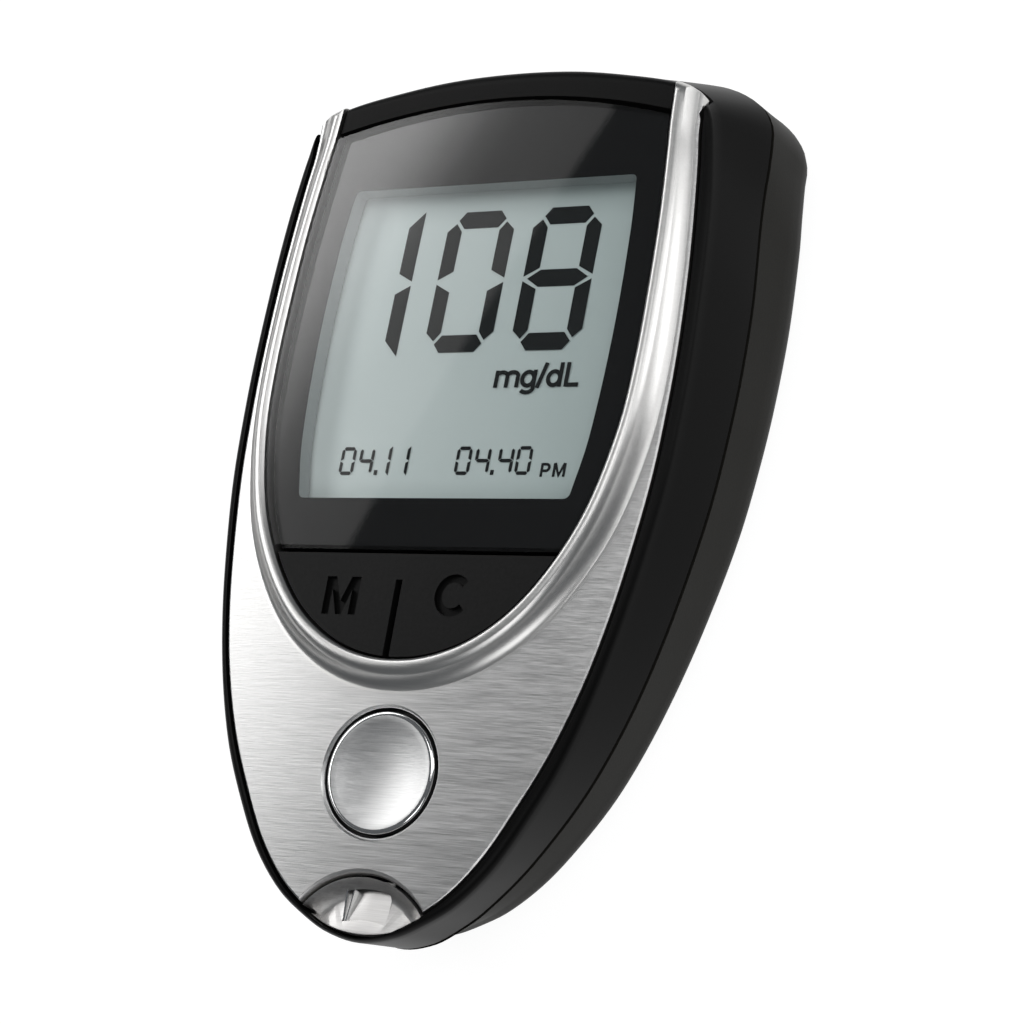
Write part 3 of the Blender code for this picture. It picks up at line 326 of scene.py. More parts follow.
def new_effect(name, *inputs):
    """Empty effect with these inputs, by label and kind, and what every finish needs."""
    group = bpy.data.node_groups.new(name, "ShaderNodeTree")
    number, colour = "NodeSocketFloat", "NodeSocketColor"
    inputs += (("Depth", number), ("Rough low", number), ("Rough high", number),
               ("Dark", colour), ("Light", colour))
    outputs = (("Color", colour), ("Roughness", number), ("Normal", "NodeSocketVector"))
    for way, sockets in (("INPUT", inputs), ("OUTPUT", outputs)):
        for label, kind in sockets:
            group.interface.new_socket(label, in_out=way, socket_type=kind)
    nodes = [group.nodes.new(kind) for kind in ("NodeGroupInput", "NodeGroupOutput",
                                                "ShaderNodeTexCoord")]
    return group, *nodes


def noise_node(tree, place, scale, detail):
    node = tree.nodes.new("ShaderNodeTexNoise")
    tree.links.new(place, node.inputs["Vector"])
    if isinstance(scale, float):
        node.inputs["Scale"].default_value = scale
    else:
        tree.links.new(scale, node.inputs["Scale"])
    node.inputs["Detail"].default_value = detail
    return node.outputs["Fac"]


def wire_effect(tree, group_in, group_out, fine, wide):
    """The fine pattern drives colour and bump, and the wide one the roughness."""
    links = tree.links
    spread = tree.nodes.new("ShaderNodeMapRange")
    links.new(wide, spread.inputs["Value"])
    links.new(group_in.outputs["Rough low"], spread.inputs["To Min"])
    links.new(group_in.outputs["Rough high"], spread.inputs["To Max"])
    links.new(spread.outputs["Result"], group_out.inputs["Roughness"])
    mix = tree.nodes.new("ShaderNodeMix")
    mix.data_type = "RGBA"
    links.new(fine, mix.inputs["Factor"])
    links.new(group_in.outputs["Dark"], mix.inputs[6])
    links.new(group_in.outputs["Light"], mix.inputs[7])
    links.new(mix.outputs[2], group_out.inputs["Color"])
    bump = tree.nodes.new("ShaderNodeBump")
    bump.inputs["Distance"].default_value = 0.00002
    links.new(group_in.outputs["Depth"], bump.inputs["Strength"])
    links.new(fine, bump.inputs["Height"])
    links.new(bump.outputs[0], group_out.inputs["Normal"])


# Brush lines: noise stretched along X, so that it reads as fine scratches across the plate.
BRUSH, group_in, group_out, coords = new_effect("Brush lines")
heights = []
for scale, detail in (((220, 6500, 6500), 3.0), ((60, 1700, 1700), 2.0)):
    stretch = BRUSH.nodes.new("ShaderNodeMapping")
    stretch.inputs["Scale"].default_value = scale
    BRUSH.links.new(coords.outputs["Object"], stretch.inputs["Vector"])
    heights.append(noise_node(BRUSH, stretch.outputs[0], 1.0, detail))
both = math_node(BRUSH, "ADD", math_node(BRUSH, "MULTIPLY", heights[0], 0.65),
                 math_node(BRUSH, "MULTIPLY", heights[1], 0.35))
both = math_node(BRUSH, "ADD", math_node(BRUSH, "MULTIPLY", both, 2.6), -0.8)
wire_effect(BRUSH, group_in, group_out, both, both)

# Moulded grain: small even noise for soft-touch plastic and rubber.
GRAIN, group_in, group_out, coords = new_effect("Moulded grain", ("Scale", "NodeSocketFloat"))
wire_effect(GRAIN, group_in, group_out,
            noise_node(GRAIN, coords.outputs["Object"], group_in.outputs["Scale"], 2.0),
            noise_node(GRAIN, coords.outputs["Object"], 55.0, 3.0))


def tint(value):
    return (value, value, value) if isinstance(value, float) else value


def finish(name, plain, metallic, gloss, group, depth, rough, tones, scale=None):
    """Material with plain values of its own, and a shared effect laid over them."""
    colour, roughness = plain
    material, tree, shader = new_material(name, tint(colour), roughness, metallic,
                                          Specular_IOR_Level=gloss)
    node = tree.nodes.new("ShaderNodeGroup")
    node.node_tree = group
    for label, value in (("Depth", depth), ("Rough low", rough[0]), ("Rough high", rough[1]),
                         ("Dark", (*tint(tones[0]), 1)), ("Light", (*tint(tones[1]), 1)),
                         ("Scale", scale)):
        if value is not None:
            node.inputs[label].default_value = value
    for label in ("Color", "Roughness", "Normal"):
        target = "Base Color" if label == "Color" else label
        tree.links.new(node.outputs[label], shader.inputs[target])
    return material


# %% Finishes of black plastic, rubber and print
# Black of the case; the key's pressed-in letters also take it as painted shade.
case_black_and_letter_shade = finish("Case black and letter shade", (0.004, 0.35), 0.0, 0.07, GRAIN, 0.2, (0.34, 0.42),
                    (0.003, 0.0055), 5200.0)
rear_black = finish("Rear case black", ((0.012, 0.011, 0.009), 0.45), 0.0, 0.05, GRAIN, 0.35,
                    (0.42, 0.52), ((0.014, 0.0135, 0.0115), (0.022, 0.021, 0.018)), 4200.0)
key_rubber = finish("Key rubber", (0.006, 0.45), 0.0, 0.12, GRAIN, 0.5, (0.36, 0.46),
                    (0.004, 0.009), 2600.0)
# Dark moulding for the inner parts; it also serves as painted shade in the gap round the button.
dark_moulding_and_shade = finish("Dark moulding and painted shade", (0.02, 0.5), 0.0, 0.5, GRAIN, 0.3, (0.45, 0.6),
                   (0.015, 0.025), 3000.0)
print_black = finish("Lens print", (0.003, 0.9), 0.0, 0.0, GRAIN, 0.0, (0.88, 0.95),
                     (0.0025, 0.0035), 2000.0)
segment_ink = finish("Segment ink", ((0.01, 0.012, 0.012), 0.8), 0.0, 0.0, GRAIN, 0.0,
                     (0.78, 0.85), ((0.009, 0.011, 0.011), (0.013, 0.015, 0.015)), 2500.0)
frame_grey = finish("Display surround", ((0.3, 0.33, 0.33), 0.6), 0.0, 0.2, GRAIN, 0.1,
                    (0.55, 0.65), ((0.27, 0.3, 0.3), (0.33, 0.36, 0.36)), 3000.0)

# %% Finishes of metal
brushed = finish("Brushed face", (0.6, 0.36), 1.0, 0.5, BRUSH, 0.45, (0.30, 0.42),
                 ((0.46, 0.46, 0.455), (0.67, 0.665, 0.66)))
satin_metal = finish("Satin rim", (0.66, 0.2), 1.0, 0.5, BRUSH, 0.02, (0.31, 0.35),
                     ((0.58, 0.575, 0.565), (0.64, 0.635, 0.625)))
tray_metal = finish("Tray metal", (0.6, 0.4), 1.0, 0.5, BRUSH, 0.2, (0.36, 0.46),
                    ((0.54, 0.53, 0.52), (0.70, 0.69, 0.68)))
button_metal = finish("Button cap", (0.66, 0.25), 1.0, 0.5, BRUSH, 0.3, (0.34, 0.44),
                      (0.54, (0.72, 0.72, 0.715)))
polished = finish("Polished edge", (0.75, 0.1), 1.0, 0.5, BRUSH, 0.03, (0.08, 0.12), (0.74, 0.8))
zinc = finish("Zinc screw", (0.5, 0.35), 1.0, 0.5, BRUSH, 0.3, (0.28, 0.45), (0.42, 0.58))
plated = finish("Plated contact", ((0.75, 0.68, 0.5), 0.3), 1.0, 0.5, BRUSH, 0.2, (0.25, 0.4),
                ((0.66, 0.59, 0.42), (0.8, 0.73, 0.55)))

# %% Finishes of the parts inside
board_green = finish("Board mask", ((0.02, 0.16, 0.07), 0.4), 0.0, 0.5, GRAIN, 0.2, (0.35, 0.5),
                     ((0.015, 0.12, 0.05), (0.03, 0.2, 0.09)), 1500.0)
jacket = finish("Cell jacket", ((0.2, 0.21, 0.23), 0.35), 0.4, 0.5, GRAIN, 0.1, (0.3, 0.4),
                ((0.16, 0.17, 0.19), (0.24, 0.25, 0.27)), 900.0)

# %% [markdown]
# The lens is clear, and it mirrors the room weakly: a few percent seen square on, and more at a
# slant. A thin sheet like this needs no bent light, so it lets light through by its alpha, and
# Schlick's rule for the mirror share is built from Layer Weight.

# %% Clear lens
lens_clear, tree, shader = new_material("Clear lens", (1.0, 1.0, 1.0), 0.02, 1.0)
facing = tree.nodes.new("ShaderNodeLayerWeight")
facing.inputs["Blend"].default_value = 0.5
slant = math_node(tree, "POWER", facing.outputs["Facing"], 5.0)
tree.links.new(math_node(tree, "ADD", math_node(tree, "MULTIPLY", slant, 0.96), 0.043),
               shader.inputs["Alpha"])

# %% [markdown]
# The display glass is pale grey-green with a faint cloudy texture. Its colour also holds painted
# light: it is lighter to the left, where the soft panel lights it.

# %% Display glass
display_grey, tree, shader = new_material("Display grey", (0.55, 0.63, 0.62), 0.5,
                                          Specular_IOR_Level=0.1)
coords = tree.nodes.new("ShaderNodeTexCoord")
cloud = noise_node(tree, coords.outputs["Object"], 60.0, 2.0)
split = tree.nodes.new("ShaderNodeSeparateXYZ")
tree.links.new(coords.outputs["Object"], split.inputs["Vector"])
# Painted light: the colour grows lighter towards the left (-X), over the cloudy texture.
cloud_and_painted_light = math_node(tree, "ADD", math_node(tree, "MULTIPLY", cloud, 0.25),
                      math_node(tree, "MULTIPLY", split.outputs["X"], -21.0))
ramp = tree.nodes.new("ShaderNodeValToRGB")
ramp.color_ramp.elements[0].color = (0.50, 0.59, 0.58, 1)
ramp.color_ramp.elements[1].color = (0.84, 0.92, 0.905, 1)
tree.links.new(math_node(tree, "ADD", cloud_and_painted_light, 0.15), ramp.inputs["Fac"])
tree.links.new(ramp.outputs["Color"], shader.inputs["Base Color"])

# %% [markdown]
# ## The case
# Two moulded halves meet at a thin dark seam. The front half turns in over a soft shoulder to
# the edge of the metal face, and across the top it becomes the cap above the lens.

# %% Front half
CAP_START, CAP_END = 0.0492, 0.05295
CAP_DROP = 0.0007
SHOULDER_OUT, SEAM_OUT, SEAM_DOWN = 0.00165, 0.0043, 0.0080
EDGE_ROUND = 0.0010
SEAM_HALF = 0.00015
INSIDE = 0.003
HAIR = 0.00002


def edge_level(x, y):
    """Level of the shell's top edge: beside the metal face, then up to the cap at the top."""
    share = smooth_step((y - CAP_START) / (CAP_END - CAP_START))
    return face_level(x, y) * (1 - share) + (rim_level(y) - CAP_DROP) * share


def seam_level(x, y):
    return face_level(x, y) - by_station(SEAM_DOWN, SEAM_DROP, y)


def side_offset(y, share):
    """How far the side stands out from the outline, from the seam (0) to the shoulder (1)."""
    seam = by_station(SEAM_OUT, SEAM_FLARE, y) - HAIR
    shoulder = by_station(SHOULDER_OUT, SHOULDER, y)
    return seam + (shoulder - seam) * share**1.05


def seam_ring(inset, lift):
    return ring_at(lambda x, y, n: side_offset(y, 0) - inset,
                   lambda x, y, at: seam_level(x, y) + lift)


def front_rings():
    rings = []
    inner = ring_at(lambda x, y, n: -WALL, lambda x, y, at: face_level(x, y) - INSIDE)
    rings += list(reversed(draw_in(inner, lambda x, y: face_level(x, y) - INSIDE,
                                   (0.35, 0.7, 1.0))))
    rings.append(inner)
    rings.append(ring_at(lambda x, y, n: side_offset(y, 0.7) - WALL,
                         lambda x, y, at: face_level(x, y) - INSIDE - WALL))
    rings += [seam_ring(WALL, SEAM_HALF), seam_ring(0.0002, SEAM_HALF)]
    for s in (0.015, 0.1, 0.25, 0.4, 0.55, 0.7, 0.85):
        rings.append(ring_at(lambda x, y, n, s=s: side_offset(y, s),
                             lambda x, y, at, s=s: (seam_level(x, y) + SEAM_HALF) * (1 - s)
                             + (edge_level(x, y) - EDGE_ROUND) * s))
    for degrees in (90, 76, 62, 48, 34, 20, 8, 0):
        t = math.radians(degrees)
        rings.append(ring_at(
            lambda x, y, n, t=t: by_station(SHOULDER_OUT, SHOULDER, y) * math.sin(t),
            lambda x, y, at, t=t: edge_level(x, y) - EDGE_ROUND * (1 - math.cos(t))))
    rings += draw_in(rings[-1], lambda x, y: rim_level(y) - CAP_DROP, (0.12, 0.3, 0.6, 1.0))
    return rings


case_front = skin("case_front", front_rings(), case_black_and_letter_shade)

# %% [markdown]
# The metal face is one pressed piece: a raised rim round the display with a bright chamfer, a
# narrow facet, a steep wall and a cove that runs out into the brushed plate. Its section is
# swept round the opening, and a rounded block trims it, which folds the two band ends down.

# %% Rim and side curves


def rim_curve(extend, count=900):
    knots = [(x * RIM_HALF, RIM_LOW + RIM_RUN * y) for x, y in RIM]
    knots.append((knots[-1][0], knots[-1][1] + extend))
    points = curve_through(knots, count, False)
    return points, normals_of(points)


def side_curve(extend):
    knots = [(x * HALF_WIDTH, TIP_Y + FACE_RUN * y) for x, y in OUTLINE if y < 0.93]
    knots.append((knots[-1][0], TOP_Y + extend))
    return curve_through(knots, 500, False)


def ray_hit(start, way, path):
    best = None
    for a, b in zip(path, path[1:]):
        run = b - a
        across = way.x * run.y - way.y * run.x
        if abs(across) < 1e-12:
            continue
        gone = a - start
        along = (gone.x * run.y - gone.y * run.x) / across
        share = (gone.x * way.y - gone.y * way.x) / across
        if along > 0 and -0.001 <= share <= 1.001 and (best is None or along < best):
            best = along
    return best


def face_stations(extend, rows):
    """(rim point, normal, width out to the outline), all round the opening."""
    points, normals = rim_curve(extend)
    side = side_curve(2 * extend)
    found, gone = [], [0.0]
    for point, normal in zip(points, normals):
        width = ray_hit(point, normal, side)
        if width is None or point.y > TOP_Y + extend:
            break
        outer = point + normal * width
        if found:
            step = (point - found[-1][0]).length + (outer - found[-1][3]).length
            gone.append(gone[-1] + step)
        found.append((point, normal, width, outer))
    right = [found[k][:3] for k in even_picks(gone, rows)]
    return mirrored(right[1:]) + right


STATIONS_ROUND = face_stations(CLEAR, 96)


BAND = 0.0034
RIM_SECTION = ((0.0, 0.0006), (0.0, 0.00035), (0.00012, 0.00018), (0.0003, 0.00004),
               (0.00045, 0.0), (0.0008, 0.00003), (0.0011, 0.00009), (0.00125, 0.00017))


def face_section(point, normal, width):
    """Section of the metal face from the opening out: rim, wall and cove, plate, underside."""
    reach = width - GAP
    scale = min(1.0, (reach - 0.0003) / BAND)
    section = []

    def add(distance, level_of):
        at = point + normal * distance
        section.append((at.x, at.y, level_of(at)))

    for distance, drop in RIM_SECTION:
        add(distance * scale, lambda at, drop=drop: rim_level(at.y) - drop)
    for share in (0.0, 0.07, 0.16, 0.27, 0.4, 0.55, 0.7, 0.85, 1.0):
        left = (1 - share) ** 2.2 * 0.75
        add((0.0016 + 0.0018 * share) * scale,
            lambda at, left=left: face_level(at.x, at.y)
            + (rim_level(at.y) - face_level(at.x, at.y)) * left)
    start = BAND * scale
    for share in (0.25, 0.5, 0.75, 1.0):
        add(start + (reach - 0.0003 - start) * share, lambda at: face_level(at.x, at.y))
    add(reach - 0.0001, lambda at: face_level(at.x, at.y) - 0.0001)
    add(reach, lambda at: face_level(at.x, at.y) - 0.0003)
    for share in (1.0, 0.5, 0.0):
        add(reach * share, lambda at: face_level(at.x, at.y) - 0.0013)
    return section


def envelope(name, side, end, radius):
    """Block round the outline with a rounded top edge at the top end."""
    def offset(n):
        return side + (end - side) * smooth_step((n.y - 0.3) / 0.5)
    rings = []
    low = ring_at(lambda x, y, n: offset(n), lambda x, y, at: rim_level(y) - 0.0134)
    rings += list(reversed(draw_in(low, lambda x, y: rim_level(y) - 0.0134, (0.5, 1.0))))
    rings.append(low)
    for degrees in (0, 12, 24, 36, 48, 60, 72, 84, 90):
        t = math.radians(degrees)
        rings.append(ring_at(lambda x, y, n, t=t: offset(n) - radius * (1 - math.cos(t)),
                             lambda x, y, at, t=t: rim_level(y) - radius * (1 - math.sin(t))))
    rings += draw_in(rings[-1], lambda x, y: rim_level(y) + CLEAR, (0.3, 1.0))
    return skin(name, rings, satin_metal)


sections = [face_section(*row) for row in STATIONS_ROUND]
rim_columns, plate_columns = 16, 5
slots = [0] * rim_columns + [1] * plate_columns
slots += [0] * (len(sections[0]) - len(slots))
metal_face = skin("metal_face", sections, [satin_metal, brushed], caps=True, slots=slots, flat=24)
cut(metal_face, envelope("trim", 0.00003 - GAP, 0.0012, 0.0015), "INTERSECT")
button_place = FACE @ Matrix.Translation((0, BUTTON_Y, face_level(0, BUTTON_Y))) \
    @ Matrix.Rotation(math.atan(-BUTTON_Y / CROWN), 4, "X")
cut(metal_face, lathe("bore_edge", ((0, -0.0004), (0.0070, -0.0004), (0.0073, 0.00005),
                                    (0.0073, CLEAR), (0, CLEAR)),
                      button_metal, button_place, sides=128))
# The bore wall below the chamfer takes the dark moulding: painted shade in the gap round the
# button.
cut(metal_face, lathe("bore", ((0, -CLEAR), (0.0069, -CLEAR), (0.0069, 0.001), (0, 0.001)),
                      dark_moulding_and_shade, button_place, sides=128))
SCOOP_Y, SCOOP_LIP = -0.0433, 0.0365
lean = SCOOP_LIP / CROWN
scoop_place = FACE @ Matrix.Translation((0, SCOOP_Y, face_level(0, -SCOOP_LIP) - 0.0068 * lean)) \
    @ Matrix.Rotation(math.atan(lean), 4, "X")
cut(metal_face, lathe("scoop", ((0, -0.008), (0.0098, -0.008), (0.0098, -0.00072),
                                (0.00986, -0.00048), (0.00998, -0.00028), (0.01015, -0.00013),
                                (0.01036, -0.00004), (0.0106, 0.00002), (0.0106, CLEAR),
                                (0, CLEAR)),
                      tray_metal, scoop_place, sides=160))


def rim_normal(x, y):
    return Vector((0.0, y / 1.144, 1.0)).normalized()


def crown_normal(x, y):
    return Vector((x / 0.3125, min(y, 0.0) / CROWN, 1.0)).normalized()


def true_normals(piece, level_of, normal_of, tolerance=0.00003, side=1):
    """Corners that lie on a known surface get its exact normal, so cuts leave no shading marks."""
    back = FACE.inverted()
    mesh = piece.data
    places = [back @ v.co for v in mesh.vertices]
    corner = [n.vector.copy() for n in mesh.corner_normals]
    turn = FACE.to_3x3()
    for face in mesh.polygons:
        at = [places[i] for i in face.vertices]
        if all(abs(p.z - level_of(p.x, p.y)) < tolerance for p in at):
            for loop, p in zip(face.loop_indices, at):
                corner[loop] = turn @ normal_of(p.x, p.y) * side
    mesh.normals_split_custom_set(corner)


true_normals(metal_face, face_level, crown_normal)
print("metal face", len(metal_face.data.polygons), "faces")

# %% Room for the face in the front half
pocket = []
for point, normal, width in STATIONS_ROUND:
    section = []
    for distance, raised in ((-GAP, True), (width + 0.00005, True), (width + 0.00005, False),
                             (width / 2, False), (-GAP, False)):
        at = point + normal * distance
        section.append((at.x, at.y, CLEAR if raised else face_level(at.x, at.y) - 0.0016))
    pocket.append(section)
cut(case_front, skin("pocket", pocket, case_black_and_letter_shade, caps=True))


def span_sheet(name, width_of, low_of, high_of, top_of, bottom_of, columns, rows, material,
               flat=30):
    """Closed sheet between two edges, as wide at each height as its rule says."""
    bm = bmesh.new()
    layers = []
    for level_of in (bottom_of, top_of):
        grid = []
        for r in range(rows + 1):
            line = []
            for c in range(columns + 1):
                across = 2 * c / columns - 1
                up = 1 - math.cos(math.pi * r / (2 * rows))
                y = low_of(across) + (high_of(across) - low_of(across)) * up
                x = across * width_of(y)
                line.append(bm.verts.new(FACE @ Vector((x, y, level_of(x, y)))))
            grid.append(line)
        layers.append(grid)
    for grid in layers:
        for r in range(rows):
            for c in range(columns):
                bm.faces.new((grid[r][c], grid[r][c + 1], grid[r + 1][c + 1], grid[r + 1][c]))
    low, high = layers
    edge = [(0, c) for c in range(columns)] + [(r, columns) for r in range(rows)]
    edge += [(rows, c) for c in range(columns, 0, -1)] + [(r, 0) for r in range(rows, 0, -1)]
    for (r0, c0), (r1, c1) in zip(edge, edge[1:] + edge[:1]):
        bm.faces.new((low[r0][c0], low[r1][c1], high[r1][c1], high[r0][c0]))
    return new_piece(name, bm, material, flat)


def rim_width(inset):
    """Rule for half the width inside the rim, and the height where it starts."""
    points, normals = rim_curve(CLEAR, 400)
    path = [p - n * inset for p, n in zip(points, normals)]
    path[0].x = 0.0

    def rule(y):
        if y <= path[0].y:
            return 0.0
        for a, b in zip(path, path[1:]):
            if a.y <= y <= b.y:
                return a.x + (b.x - a.x) * (y - a.y) / max(b.y - a.y, 1e-6)
        return path[-1].x
    return rule, path[0].y


LENS_LOW = 0.00115


def lens_top(inset):
    return lambda across: 0.0540 - inset - (across * RIM_HALF) ** 2 / 0.16


def below(depth):
    return lambda x, y: rim_level(y) - depth


seat_width, _ = rim_width(-GAP)
cut(case_front, span_sheet("seat", seat_width, lambda a: -0.0032, lens_top(-GAP),
                           lambda x, y: CLEAR, below(0.00215), 40, 60, case_black_and_letter_shade))
cut(case_front, span_sheet("key_room", seat_width, lambda a: -0.01149,
                           lambda a: LENS_LOW, lambda x, y: CLEAR, below(0.0033), 30, 50,
                           case_black_and_letter_shade))

# %% Scoop room and holes of the front half
cut(case_front, lathe("button_room", ((0, -0.016), (0.0079, -0.016), (0.0079, CLEAR), (0, CLEAR)),
                      case_black_and_letter_shade, FACE @ Matrix.Translation((0, BUTTON_Y, 0)), sides=64))


SCOOP_RADIUS, SCOOP_TURN = 0.0095, 0.865


def tray_sections(grow, depth, raised, steps=40):
    """Fan of sections round the scoop. With raised they make the cutter, else the tray."""
    side = side_curve(CLEAR)
    mirror = [Vector((-p.x, p.y)) for p in side]
    centre = Vector((0, SCOOP_Y))
    outer = SCOOP_RADIUS + grow
    half = SCOOP_TURN + grow / outer
    sections = []
    for i in range(steps + 1):
        turn = half * (2 * i / steps - 1)
        way = Vector((math.sin(turn), math.cos(turn)))
        edge = ray_hit(centre, way, side if turn >= 0 else mirror)
        edge = edge + GAP - grow if edge is not None else outer
        edge = min(edge, outer - 0.0005)
        cove = min(0.0018, 0.8 * (outer - edge))
        if raised:
            profile = ((outer, -raised), (outer, depth), (edge + 0.0002, depth), (edge, 0.0009),
                       (edge, -raised))
        else:
            run = min(0.0004, 0.1 * (outer - edge))
            profile = [(outer, depth), (edge + 2 * run, depth), (edge, 0.0011),
                       (edge + run / 2, 0.0009), (edge + run, 0.0009)]
            for share in (1.0, 0.85, 0.7, 0.55, 0.42, 0.3, 0.2, 0.12, 0.06, 0.02, 0.0):
                profile.append((outer - cove * share,
                                0.0003 + 0.0016 * math.sin(math.pi / 2 * share)))
        section = []
        for radius, drop in profile:
            at = centre + way * radius
            section.append((at.x, at.y, face_level(at.x, at.y) - drop))
        sections.append(section)
    return sections


cut(case_front, skin("tray_room", tray_sections(GAP, 0.0034, CLEAR), case_black_and_letter_shade, caps=True))
print("case front", len(case_front.data.polygons), "faces")

# %% [markdown]
# The rear half is the same outline carried down to the flat back with a generous round. Four
# bores let the screws in. It has no opening for the battery cover.

# %% Rear half
BACK_OUT, BACK_ROUND = 0.0047, 0.0055
SEAM_DEPTH, SEAM_EDGE = 0.0006, 0.0003


def back_level(y):
    return -BACK_DEPTH - BACK_SLOPE * y


def rear_rings():
    def low(y):
        return by_station(BACK_OUT, BACK_FLARE, y) - HAIR
    rings = []
    floor = ring_at(lambda x, y, n: low(y) - BACK_ROUND, lambda x, y, at: back_level(at.y) + WALL)
    rings += list(reversed(draw_in(floor, lambda x, y: back_level(y) + WALL, (0.4, 1.0))))
    rings.append(floor)
    rings.append(ring_at(lambda x, y, n: low(y) - WALL,
                         lambda x, y, at: back_level(at.y) + BACK_ROUND))
    rings += [seam_ring(WALL, -SEAM_HALF), seam_ring(SEAM_DEPTH, -SEAM_HALF),
              seam_ring(SEAM_DEPTH, -SEAM_EDGE), seam_ring(0, -SEAM_EDGE)]
    for s in (0.25, 0.5, 0.75):
        rings.append(ring_at(
            lambda x, y, n, s=s: side_offset(y, 0) * (1 - s) + low(y) * s,
            lambda x, y, at, s=s: (seam_level(x, y) - SEAM_EDGE) * (1 - s)
            + (back_level(at.y) + BACK_ROUND) * s))
    for degrees in (0, 12, 24, 36, 48, 60, 72, 82, 90):
        t = math.radians(degrees)
        rings.append(ring_at(
            lambda x, y, n, t=t: low(y) - BACK_ROUND * (1 - math.cos(t)),
            lambda x, y, at, t=t: back_level(at.y) + BACK_ROUND * (1 - math.sin(t))))
    rings += draw_in(rings[-1], lambda x, y: back_level(y), (0.15, 0.4, 1.0))
    return rings


case_rear = skin("case_rear", rear_rings(), rear_black)
SCREWS = ((0.0236, 0.0335), (-0.0236, 0.0335), (0.0140, -0.0290), (-0.0140, -0.0290))
for x, y in SCREWS:
    cut(case_rear, lathe("screw_bore", ((0, -CLEAR), (0.0024, -CLEAR), (0.0024, 0.0044),
                                        (0, 0.0044)), rear_black,
                         Matrix.Translation((x, y, 0)), sides=48))
print("case rear", len(case_rear.data.polygons), "faces")

# %% [markdown]
# ## Lens, display and keys
# The lens is a curved slab with softened edges. Under it lies the black print with the rounded
# window, then the display glass. The segments are thin raised shapes on the glass.

# %% Lens
lens_width, _ = rim_width(GAP)
LENS_DEPTH, LENS_BACK = 0.00045, 0.00180
lens = span_sheet("lens", lens_width, lambda a: LENS_LOW, lens_top(GAP), below(LENS_DEPTH),
                  below(LENS_BACK), 60, 60, lens_clear)


def soften_edges(piece, width, depths):
    """Rounds the sharp edges, then gives the broad faces at these depths their true normals."""
    trim = piece.modifiers.new("soft edge", "BEVEL")
    trim.width = width
    trim.segments = 2
    trim.angle_limit = math.radians(50)
    apply_to(piece, trim)
    for depth, side in depths:
        true_normals(piece, below(depth), rim_normal, 0.00001, side)


soften_edges(lens, 0.00012, ((LENS_DEPTH, 1), (LENS_BACK, -1)))

# %% Lens print with the rounded window
WINDOW = ((0.0, 0.905), (0.18, 0.967), (0.5, 1.0), (0.82, 0.99), (1.0, 0.962))
WINDOW_LOW, WINDOW_HIGH = 0.0070, 0.0442
WINDOW_HALF = 0.0187
PRINT_DEPTH, GLASS_DEPTH = 0.00181, 0.00465


def window_half(y):
    share = (y - WINDOW_LOW) / (WINDOW_HIGH - WINDOW_LOW)
    return WINDOW_HALF * read_table(*zip(*WINDOW), share)


def window_outline(radius, grow=0.0, steps=24):
    """Window edge with round corners, anticlockwise from the lower right."""
    low, high = WINDOW_LOW - grow, WINDOW_HIGH + grow
    right = []
    for i in range(9):
        t = math.pi / 2 * i / 8
        right.append((radius * (1 - math.sin(t)), low + radius * (1 - math.cos(t))))
    for i in range(1, steps):
        right.append((0.0, low + radius + (high - low - 2 * radius) * i / steps))
    for i in range(9):
        t = math.pi / 2 * i / 8
        right.append((radius * (1 - math.cos(t)), high - radius * (1 - math.sin(t))))
    return [(window_half(min(max(y, WINDOW_LOW), WINDOW_HIGH)) + grow - inset, y)
            for inset, y in right]


def window_slab(name, radius, grow, top, bottom, material):
    right = window_outline(radius, grow)
    loop = right + [(-x, y) for x, y in reversed(right)]
    rings = [[(x, y, rim_level(y) - d) for x, y in loop] for d in (bottom, top)]
    return skin(name, rings, material, caps=True)


lens_print = span_sheet("lens_print", lens_width, lambda a: LENS_LOW, lens_top(GAP),
                        below(PRINT_DEPTH), below(0.00186), 60, 60, print_black)
cut(lens_print, window_slab("window", 0.0006, 0.0, 0.001, CLEAR, print_black))
true_normals(lens_print, below(PRINT_DEPTH), rim_normal, 0.00001)

# %% Opening for the display in the front half
cut(case_front, window_slab("display_opening", 0.0022, 0.0018, -CLEAR, 0.016, case_black_and_letter_shade))

# %% Display glass and its bezel
window_bezel = window_slab("window_bezel", 0.0016, 0.0012, 0.00200, 0.0042, frame_grey)
cut(window_bezel, window_slab("window_hole", 0.0006, 0.0002, 0.001, 0.006, frame_grey))
display = window_slab("display_glass_plate", 0.0014, 0.0010, GLASS_DEPTH, 0.0062,
                      display_grey)
true_normals(display, below(GLASS_DEPTH), rim_normal, 0.00002)

# %% [markdown]
# Seven-segment numerals come from one rule. Each bar is a flat shape with slanted ends, so that
# neighbours leave an even gap between them, and each digit names the bars it shows.

# %% Numerals
SHOWN = {"0": "abcdef", "1": "bc", "4": "fgbc", "8": "abcdefg"}


